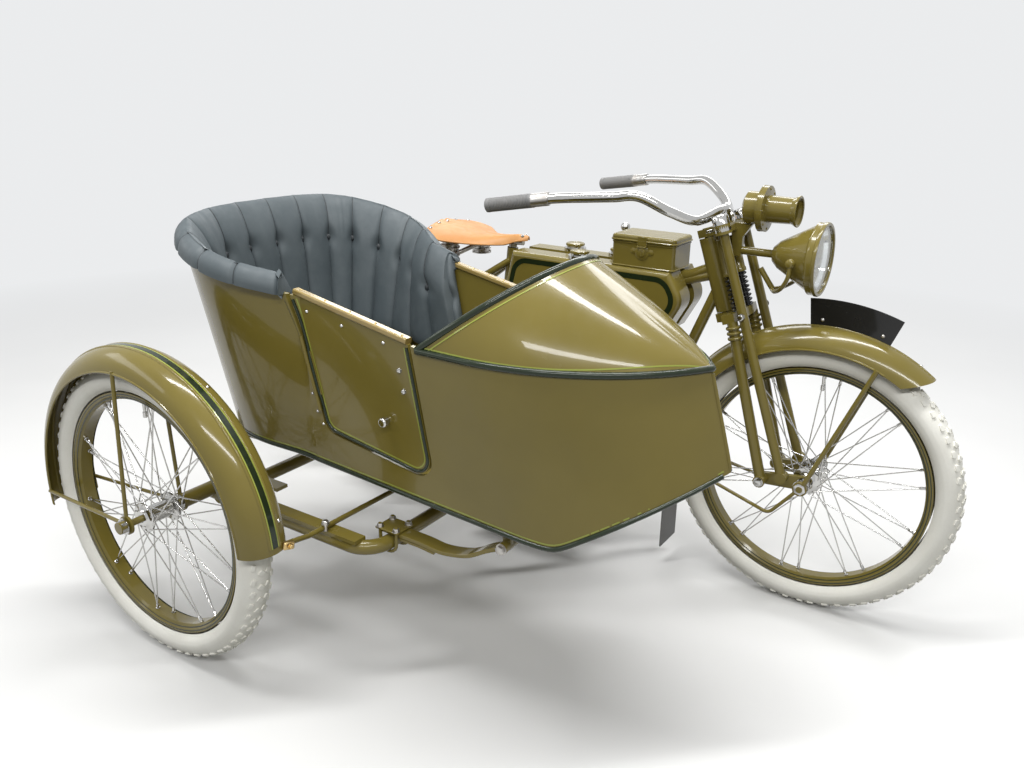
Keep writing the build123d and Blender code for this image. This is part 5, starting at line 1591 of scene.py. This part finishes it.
def arch_line(offset, lift, count=70):
    """Points over the cowl along its arch, at an offset ahead of the edge and a lift off the skin."""
    made = []
    for side, order in ((-1, range(count + 1)), (1, range(count - 1, -1, -1))):
        for i in order:
            t = i / count
            made.append(place(*cowl_point(cowl_start(t, side, offset), t, side, -lift)))
    return smoothed(made, 2)


def cowl_line(side, back, t):
    """Points along the cowl's foot from the arch to the nose, and the directions out of the skin."""
    points, outward = [], []
    start = cowl_start(t, side) + back
    for i in range(91):
        x = start + (COWL_TIP - 3 - start) * i / 90
        here = place(*cowl_point(x, t + 0.3 * (i / 90) ** 6, side))
        ahead = place(*cowl_point(x + 2, t, side)) - place(*cowl_point(x - 2, t, side))
        up = place(*cowl_point(x, t + 0.02, side)) - place(*cowl_point(x, t - 0.02, side))
        normal = ahead.cross(up).normalized()
        points.append(here)
        outward.append(normal if normal.y * side > 0 else -normal)
    return points, outward


class SIDECAR_OT_cowl(SidecarOperator):
    """Make the cowl's smooth skin, with its ridge, its sheet's thickness and its arch"""

    bl_idname = "sidecar.cowl"
    bl_label = "Cowl"

    def execute(self, context):
        shape = Shape()
        along, up = 70, 26
        for side in (-1, 1):
            skins = []
            for inset in (0.0, 6.0):
                rows = []
                for j in range(up + 1):
                    t = j / up
                    start = cowl_start(t, side, 0.0, inset)
                    tip = COWL_TIP - 9 - inset * 3
                    shares = [1 - (1 - i / along) ** 1.3 for i in range(along + 1)]
                    rows.append([place(*cowl_point(start + (tip - start) * share, t, side, inset))
                                 for share in shares])
                skins.append(rows)
            outer, inner = skins
            shape.grid(outer)
            shape.grid(inner)
            shape.grid([[row[0] for row in outer], [row[0] for row in inner]])
            shape.grid([outer[0], inner[0]])
            shape.grid([[row[-1] for row in outer], [row[-1] for row in inner]])
            nose = [row[-1] for row in outer]
            shape.grid([nose, [p.lerp(place(COWL_TIP - 1, CAR_Y, p.z * 1000 - 1), 0.96) for p in nose]])
        skin = shape.build("cowl_skin", "chassis", "olive_body", "olive_enamel", merge=0.02)
        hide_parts("car_cowl")
        return {"FINISHED"}


class SIDECAR_OT_handlebar(SidecarOperator):
    """Make the handlebar as one smooth swept bow with its stem and pinch bolt"""

    bl_idname = "sidecar.handlebar"
    bl_label = "Handlebar"

    def execute(self, context):
        half = [Vector(p) for p in ((-294, 0, 1002), (-318, 105, 984), (-361, 172, 1008), (-425, 212, 1042))]
        bend, end = Vector((-614, 271, 1029)), Vector((-796, 306, 999))
        half += [half[3].lerp(bend, share) for share in (0.3, 0.6, 0.88)]
        half += [bend.lerp(end, 0.12), bend.lerp(end, 0.5), end]
        right = [place(p.x, -p.y, p.z) for p in reversed(half[1:])]
        bar = Shape()
        bar.tube(smooth_path(right + [place(*p) for p in half], 10), 12.7, 24)
        bar.lathe(steer(-22.3, 50), -DOWN, ((0, 0), (0, 19), (1.5, 20), (32.5, 20), (34, 18.5), (34, 0)), 36)
        swept = bar.build("swept_bar", "steering", "nickel", "nickel_plate")
        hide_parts("handlebar")
        bolts = Shape()
        bolts.bolt(steer(-56.3, 50), -DOWN, 18, 7)
        bolts.bolt(steer(-39, 69), AHEAD, 11, 6)
        bolts.build("stem_bolts", "steering", "nickel", "nickel_plate")
        return {"FINISHED"}


# Tank and toolbox

TANK_SIDE = ((-630.0, 842.0), (-868.0, 842.0), (-892.0, 742.0), (-860.0, 660.0), (-440.0, 660.0),
             (-400.0, 678.0), (-350.0, 770.0), (-392.0, 842.0), (-630.0, 842.0))
LATCH_X = -472.5
TANK_CAPS = ((-668, -48, 24), (-735, 46, 24), (-600, 46, 19))
CAP_TOP = 862
KNURLS = 24
BOX_FACE = -72


def box_ring(low, high, radius, z, steps=6):
    """A closed ring in plan with rounded corners."""
    made = []
    for k, (cx, cy) in enumerate((high, (low[0], high[1]), low, (high[0], low[1]))):
        mx = cx - math.copysign(radius, cx - (low[0] + high[0]) / 2)
        my = cy - math.copysign(radius, cy - (low[1] + high[1]) / 2)
        for i in range(steps + 1):
            a = math.radians(90 * k + 90 * i / steps)
            made.append(place(mx + radius * math.cos(a), my + radius * math.sin(a), z))
    return made


class SIDECAR_OT_tank_trim(SidecarOperator):
    """Paint the tank's border, rim its caps, and add the toolbox's beads and latch"""

    bl_idname = "sidecar.tank_trim"
    bl_label = "Tank and toolbox trim"

    def execute(self, context):
        stripe, caps = Shape(), Shape()
        for side in (1, -1):
            outline = even_path(round_corners(inset(TANK_SIDE, 21.0), 44, 12), 8)
            points, normals = side_trace(("fuel_tank",), outline, side, 0)
            ribbon(stripe, points + points[:1], normals + normals[:1], 14.0, 0.5)
        for x, y, radius in TANK_CAPS:
            middle = place(x, y, CAP_TOP)
            caps.lathe(middle, (0, 0, 1),
                       ((-7, radius - 0.5), (-6, radius + 1.6), (-1, radius + 1.6), (0.6, radius),
                        (0.6, radius - 4), (-0.4, radius - 5), (0.9, radius - 9), (1.8, 0)), 40)
            for a in even_angles(KNURLS):
                out = Vector((math.cos(a), math.sin(a), 0))
                caps.block(middle + out * ((radius + 1.6) / 1000) - Vector((0, 0, 0.0035)), out, (0, 0, 1),
                           (1.8, 5.0, 2.4), 0.5)
        stripe.build("tank_border", "chassis", "green_trim", "green_enamel")
        caps.build("tank_cap_rims", "chassis", "olive", "olive_enamel")
        lid, box, latch = Shape(), Shape(), Shape()
        lid.tube(box_ring((-562, -74), (-383, 42), 11, 911), 2.8, 8, closed=True)
        box.tube(box_ring((-560, -72), (-385, 40), 10, 904.5), 2.2, 8, closed=True)
        box.tube(box_ring((-560, -72), (-385, 40), 10, 844.5), 2.4, 8, closed=True)
        lid.block(place(LATCH_X, -75.2, 911.5), (1, 0, 0), (0, 0, 1), (26, 24, 2.6), 0.8)
        lid.tube([place(-484, -77, 900), place(-484, -81, 898), place(-461, -81, 898),
                  place(-461, -77, 900)], 1.8, 8)
        latch.lathe(place(LATCH_X, BOX_FACE, 882), (0, -1, 0),
                    ((-1, 19), (1.2, 19), (2.6, 17), (3.0, 11), (5.8, 9.4), (6.6, 7), (6.6, 0)), 30)
        latch.block(place(LATCH_X, -79, 882), (1, 0, 0), (0, 0, 1), (4.2, 15, 2.4), 0.6)
        for side in (1, -1):
            latch.lathe(place(LATCH_X + side * 24, BOX_FACE, 885), (0, -1, 0),
                        ((-1, 8), (1.2, 8), (2.4, 5.5), (2.8, 0)), 18)
        lid.build("lid_bead", "toolbox_lid", "olive", "olive_enamel")
        box.build("box_beads", "chassis", "olive", "olive_enamel")
        latch.build("box_latch", "chassis", "olive", "olive_enamel")
        return {"FINISHED"}


# Engine, chain and chassis

CRANK = (-700.0, 300.0)
GEARBOX = (-1053.0, 290.0)
TIMING_COVER = (-680, 315)
COVER_SCREWS = 14
VEE_LEAN = math.radians(22.5)


def along_vee(lean, reach, y):
    """A point by its millimetres up one cylinder from the crank."""
    return place(CRANK[0] + math.sin(lean) * reach, y, CRANK[1] + math.cos(lean) * reach)


def cover_edge(share):
    """A point round the timing cover: two straights of 130 mm and two ends of 52 mm radius."""
    run, radius = 130, 52
    bend = math.pi * radius
    t = share * (2 * run + math.tau * radius)
    if t < run:
        return -run / 2 + t, radius
    if t < run + bend:
        a = math.pi / 2 - (t - run) / radius
        return run / 2 + radius * math.cos(a), radius * math.sin(a)
    if t < 2 * run + bend:
        return run / 2 - (t - run - bend), -radius
    a = -math.pi / 2 - (t - 2 * run - bend) / radius
    return -run / 2 + radius * math.cos(a), radius * math.sin(a)


class SIDECAR_OT_engine_fittings(SidecarOperator):
    """Add the pushrod tubes, the plugs, the head bolts and the covers' screws"""

    bl_idname = "sidecar.engine_fittings"
    bl_label = "Engine fittings"

    def execute(self, context):
        tubes, bolts, plugs, porcelain = Shape(), Shape(), Shape(), Shape()
        for lean in (VEE_LEAN, -VEE_LEAN):
            up = Vector((math.sin(lean), 0, math.cos(lean)))
            across = Vector((math.cos(lean), 0, -math.sin(lean)))
            for offset in (-30, 30):
                foot = along_vee(lean, 118, -72) + across * (offset * 0.7 / 1000)
                head = along_vee(lean, 252, -74) + across * (offset / 1000)
                tubes.tube([foot, head], 7, 14)
                for spot, way in ((foot, up), (head, -up)):
                    tubes.lathe(spot, way, ((-2, 0), (-2, 11.5), (5, 11.5), (7, 9.5), (14, 9.5), (16, 7)), 18)
                tubes.lathe(foot.lerp(head, 0.45), up, ((0, 7), (0, 10), (9, 10), (9, 7)), 6)
            for a in even_angles(6):
                spot = along_vee(lean, 354, 0) + (across * math.cos(a) + Vector((0, math.sin(a), 0))) * 0.0195
                bolts.bolt(spot, up, 8.5, 6)
            base = along_vee(lean, 322, -44)
            plugs.lathe(base, (0, -1, 0), ((0, 0), (0, 10), (14, 10), (14, 8)), 18)
            plugs.lathe(base, (0, -1, 0), ((14, 0), (14, 10.5), (22, 10.5), (22, 0)), 6)
            porcelain.lathe(base, (0, -1, 0), ((22, 6.2), (27, 6.4), (29, 4.6), (38, 4.2), (40, 3)), 16)
            plugs.lathe(base, (0, -1, 0), ((40, 0), (40, 3.4), (43, 4.6), (46, 4.6), (48, 2), (48, 0)), 14)
        for i in range(COVER_SCREWS):
            x, z = cover_edge(i / COVER_SCREWS)
            bolts.bolt(place(TIMING_COVER[0] + x, -78, TIMING_COVER[1] + z), (0, -1, 0), 8, 5)
        for (cx, cz), radius, first, last in ((CRANK, 70, -78, 78), (GEARBOX, 74, 102, 258)):
            for i in range(6):
                a = math.radians(first + (last - first) * i / 5)
                bolts.rivet(place(cx + radius * math.cos(a), 113, cz + radius * math.sin(a)), (0, 1, 0), 4)
        for a in even_angles(5):
            bolts.bolt(place(GEARBOX[0] + 25 * math.cos(a), -90, GEARBOX[1] + 25 * math.sin(a)),
                       (0, -1, 0), 7, 4)
        tubes.build("pushrod_tubes", "chassis", "nickel", "nickel_plate")
        bolts.build("engine_bolts", "chassis", "nickel", "bright_steel")
        plugs.build("spark_plugs", "chassis", "nickel", "bright_steel")
        porcelain.build("plug_porcelain", "chassis", "tyre", "white_rubber")
        return {"FINISHED"}


CHAIN_Y = 61.0
SMALL_SPROCKET = 40.0
LARGE_SPROCKET = 92.0
ARC_STEPS = 40
LINK_PITCH = 15.9
LINK_POINTS = 12


class SIDECAR_OT_chain(SidecarOperator):
    """Make the drive chain of separate links and rollers"""

    bl_idname = "sidecar.chain"
    bl_label = "Drive chain"

    def execute(self, context):
        front, rear = Vector(GEARBOX), Vector((WHEELS["rear"][0], TYRE_RADIUS))
        gap = rear - front
        tilt = math.atan2(gap.y, gap.x)
        lean = math.acos((SMALL_SPROCKET - LARGE_SPROCKET) / gap.length)
        path = []
        for centre, radius, first, last in (
                (front, SMALL_SPROCKET, tilt + lean, tilt + math.tau - lean),
                (rear, LARGE_SPROCKET, tilt - lean, tilt + lean)):
            angles = [first + (last - first) * i / ARC_STEPS for i in range(ARC_STEPS + 1)]
            path += [centre + Vector((math.cos(a), math.sin(a))) * radius for a in angles]
        path.append(path[0])
        spans = [(b - a).length for a, b in zip(path, path[1:])]
        total = sum(spans)
        links = 2 * round(total / LINK_PITCH / 2)

        def spot(distance):
            """The place at a distance round the chain."""
            distance %= total
            for a, b, span in zip(path, path[1:], spans):
                if distance <= span:
                    return a.lerp(b, distance / span if span else 0)
                distance -= span
            return path[-1]

        chain = Shape()
        for i in range(links):
            a, b = spot(i * total / links), spot((i + 1) * total / links)
            along = (b - a).normalized()
            across = Vector((-along.y, along.x))
            edge = []
            for k, turn in enumerate(even_angles(LINK_POINTS)):
                end = b if math.cos(turn) > 0 else a
                reach = 5.2 if k % 3 else 5.0
                edge.append(end + (along * math.cos(turn) + across * math.sin(turn)) * reach)
            for side in (1, -1):
                inner = side * (2.6 if i % 2 else 3.8)
                rings = [[place(p.x, CHAIN_Y + inner + side * step, p.y) for p in edge] for step in (0, 1.1)]
                chain.grid(rings, closed_v=True)
                for ring in rings:
                    chain.fan(ring, sum(ring, Vector()) / LINK_POINTS)
            chain.lathe(place(a.x, CHAIN_Y, a.y), (0, 1, 0),
                        ((-4.9, 0), (-4.9, 2.0), (-2.4, 2.0), (-2.4, 4.0),
                         (2.4, 4.0), (2.4, 2.0), (4.9, 2.0), (4.9, 0)), 10)
        made = chain.build("linked_chain", "chassis", "steel", "bright_steel", merge=0.001)
        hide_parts("drive_chain")
        return {"FINISHED"}


FRONT_SPRING = ((-716, 347), (-660, 347), (-600, 346), (-545, 343), (-480, 357), (-430, 385), (-392, 404))
REAR_SPRING = ((-1050, 347), (-1150, 347), (-1250, 350), (-1318, 384), (-1330, 430), (-1290, 462),
               (-1190, 470), (-1060, 472))
LEAF_EDGE = ((-1, -0.8), (-0.94, -1), (0.94, -1), (1, -0.8), (1, 0.8), (0.94, 1), (-0.94, 1), (-1, 0.8))
SPRING_EYE = (-386, 408)
CLAMP_X = -690
CLAMP_HALF = 23
SPRING_APART = 194
HUB_SIZES = {"front": (36, 33, 20), "rear": (40, 40, 24), "side": (36, 33, 20)}


class SIDECAR_OT_chassis_fittings(SidecarOperator):
    """Make the car's curved leaf springs with their clamps, eyes and bolts, and the hubs' bright barrels"""

    bl_idname = "sidecar.chassis_fittings"
    bl_label = "Chassis fittings"

    def execute(self, context):
        eye_x, eye_z = SPRING_EYE
        floor = lowest_side(eye_x, -1) or 480.0
        leaves, clamps, bolts = Shape(), Shape(), Shape()
        for y in (CAR_Y - SPRING_APART, CAR_Y + SPRING_APART):
            front = smooth_path([place(x, y, z) for x, z in FRONT_SPRING], 8)
            rear = smooth_path([place(x, y, z) for x, z in REAR_SPRING], 8)
            for path, width, thick in ((front, 36, 9.0), (front[8:22], 34, -7.0), (rear, 36, 9.0)):
                rows = []
                for i, p in enumerate(path):
                    ahead = (path[min(i + 1, len(path) - 1)] - path[max(i - 1, 0)]).normalized()
                    up = Vector((-ahead.z, 0, ahead.x))
                    if thick < 0:
                        p = p - up * 0.0088
                    half, deep = width / 2000, abs(thick) / 2000
                    rows.append([p + Vector((0, a * half, 0)) + up * (b * deep) for a, b in LEAF_EDGE])
                leaves.grid(rows, closed_v=True)
                leaves.fan(rows[0], sum(rows[0], Vector()) / 8)
                leaves.fan(rows[-1], sum(rows[-1], Vector()) / 8)
            leaves.lathe(place(eye_x, y - 24, eye_z), (0, 1, 0),
                         ((0, 8), (0, 11), (1, 12), (47, 12), (48, 11), (48, 8)), 28)
            leaves.block(place(eye_x, y, eye_z + (floor - eye_z) / 2), (1, 0, 0), (0, 1, 0),
                         (22, 11, floor - eye_z), 2)
            for side in (1, -1):
                bolts.bolt(place(eye_x, y + side * 24, eye_z), (0, side, 0), 17, 10)
                bow = [(-CLAMP_HALF, 366), (-CLAMP_HALF, 326)]
                bow += [(-CLAMP_HALF * math.cos(math.pi * i / 10), 325 - 22 * math.sin(math.pi * i / 10))
                        for i in range(1, 10)]
                bow += [(CLAMP_HALF, 326), (CLAMP_HALF, 366)]
                clamps.tube([place(CLAMP_X + x, y + side * 21, z) for x, z in bow], 4, 10)
                for x in (CLAMP_X - CLAMP_HALF, CLAMP_X + CLAMP_HALF):
                    bolts.bolt(place(x, y + side * 21, 357), (0, 0, 1), 12, 8)
            clamps.block(place(CLAMP_X, y, 355), (1, 0, 0), (0, 1, 0), (64, 56, 5), 1.2)
        for x, y in ((-1180, -885), (-808, -900)):
            bolts.lathe(place(x, y, 349), (0, 0, 1),
                        ((0, 5), (16, 5), (16, 8), (18, 8), (19, 5), (19, 0)), 16)
            bolts.bolt(place(x, y, 366), (0, 0, 1), 13, 8)
        piece = leaves.build("leaf_springs", "chassis", "olive", "olive_enamel")
        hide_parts("car_springs")
        clamps.build("spring_clamps", "chassis", "olive", "olive_enamel")
        bolts.build("chassis_bolts", "chassis", "nickel", "bright_steel")
        for name, (x, y) in WHEELS.items():
            hub = Shape()
            half, flange, barrel = HUB_SIZES[name]
            middle = place(x, y, TYRE_RADIUS)
            for side in (1, -1):
                hub.lathe(middle, (0, side, 0),
                          ((half - 9, barrel + 1), (half - 6, barrel + 6), (half - 4.6, flange + 1.4),
                           (half - 2, flange + 2.4), (half + 0.8, flange + 1.4), (half + 1.0, barrel + 4),
                           (half + 3, barrel + 1), (half + 6.6, barrel - 2), (half + 6.6, 10)), 48)
            hub.lathe(middle, (0, 1, 0), ((-half + 9, barrel + 1), (-half + 14, barrel + 0.4),
                                          (half - 14, barrel + 0.4), (half - 9, barrel + 1)), 48)
            hub.build(name + "_hub_skin", name + "_wheel", "nickel", "nickel_plate")
        return {"FINISHED"}


OPERATORS = (SIDECAR_OT_finishes, SIDECAR_OT_tyres, SIDECAR_OT_wheel_fittings, SIDECAR_OT_guard_trim,
             SIDECAR_OT_body_beads, SIDECAR_OT_door_fittings, SIDECAR_OT_seat_back, SIDECAR_OT_seat_cushion,
             SIDECAR_OT_saddle, SIDECAR_OT_grips, SIDECAR_OT_headlamp, SIDECAR_OT_fork_fittings,
             SIDECAR_OT_cowl, SIDECAR_OT_handlebar, SIDECAR_OT_tank_trim, SIDECAR_OT_engine_fittings,
             SIDECAR_OT_chain, SIDECAR_OT_chassis_fittings, SIDECAR_OT_stage)


class SIDECAR_PT_panel(bpy.types.Panel):
    """The builders and their settings in the sidebar"""

    bl_idname = "SIDECAR_PT_panel"
    bl_label = "Motorcycle and Sidecar"
    bl_space_type = "VIEW_3D"
    bl_region_type = "UI"
    bl_category = "Sidecar"

    def draw(self, context):
        """List the settings and the builders."""
        column = self.layout.column()
        for owner in (context.scene.sidecar_paint, context.scene.sidecar_trim, context.scene.sidecar_stage):
            for name in owner.__annotations__:
                column.prop(owner, name)
        for operator in OPERATORS:
            column.operator(operator.bl_idname)


CLASSES = (SidecarPaint, SidecarTrim, SidecarStage, *OPERATORS, SIDECAR_PT_panel)


def register():
    """Make the classes and the scene's settings known to Blender."""
    for cls in CLASSES:
        bpy.utils.register_class(cls)
    bpy.types.Scene.sidecar_paint = bpy.props.PointerProperty(type=SidecarPaint)
    bpy.types.Scene.sidecar_trim = bpy.props.PointerProperty(type=SidecarTrim)
    bpy.types.Scene.sidecar_stage = bpy.props.PointerProperty(type=SidecarStage)


def unregister():
    """Take the settings and the classes out again."""
    del bpy.types.Scene.sidecar_stage
    del bpy.types.Scene.sidecar_trim
    del bpy.types.Scene.sidecar_paint
    for cls in reversed(CLASSES):
        bpy.utils.unregister_class(cls)


def main():
    """Run every builder in order."""
    register()
    for operator in OPERATORS:
        group, name = operator.bl_idname.split(".")
        result = getattr(getattr(bpy.ops, group), name)()
        if "FINISHED" not in result:
            raise RuntimeError(operator.bl_label + " did not finish")


if __name__ == "__main__":
    main()
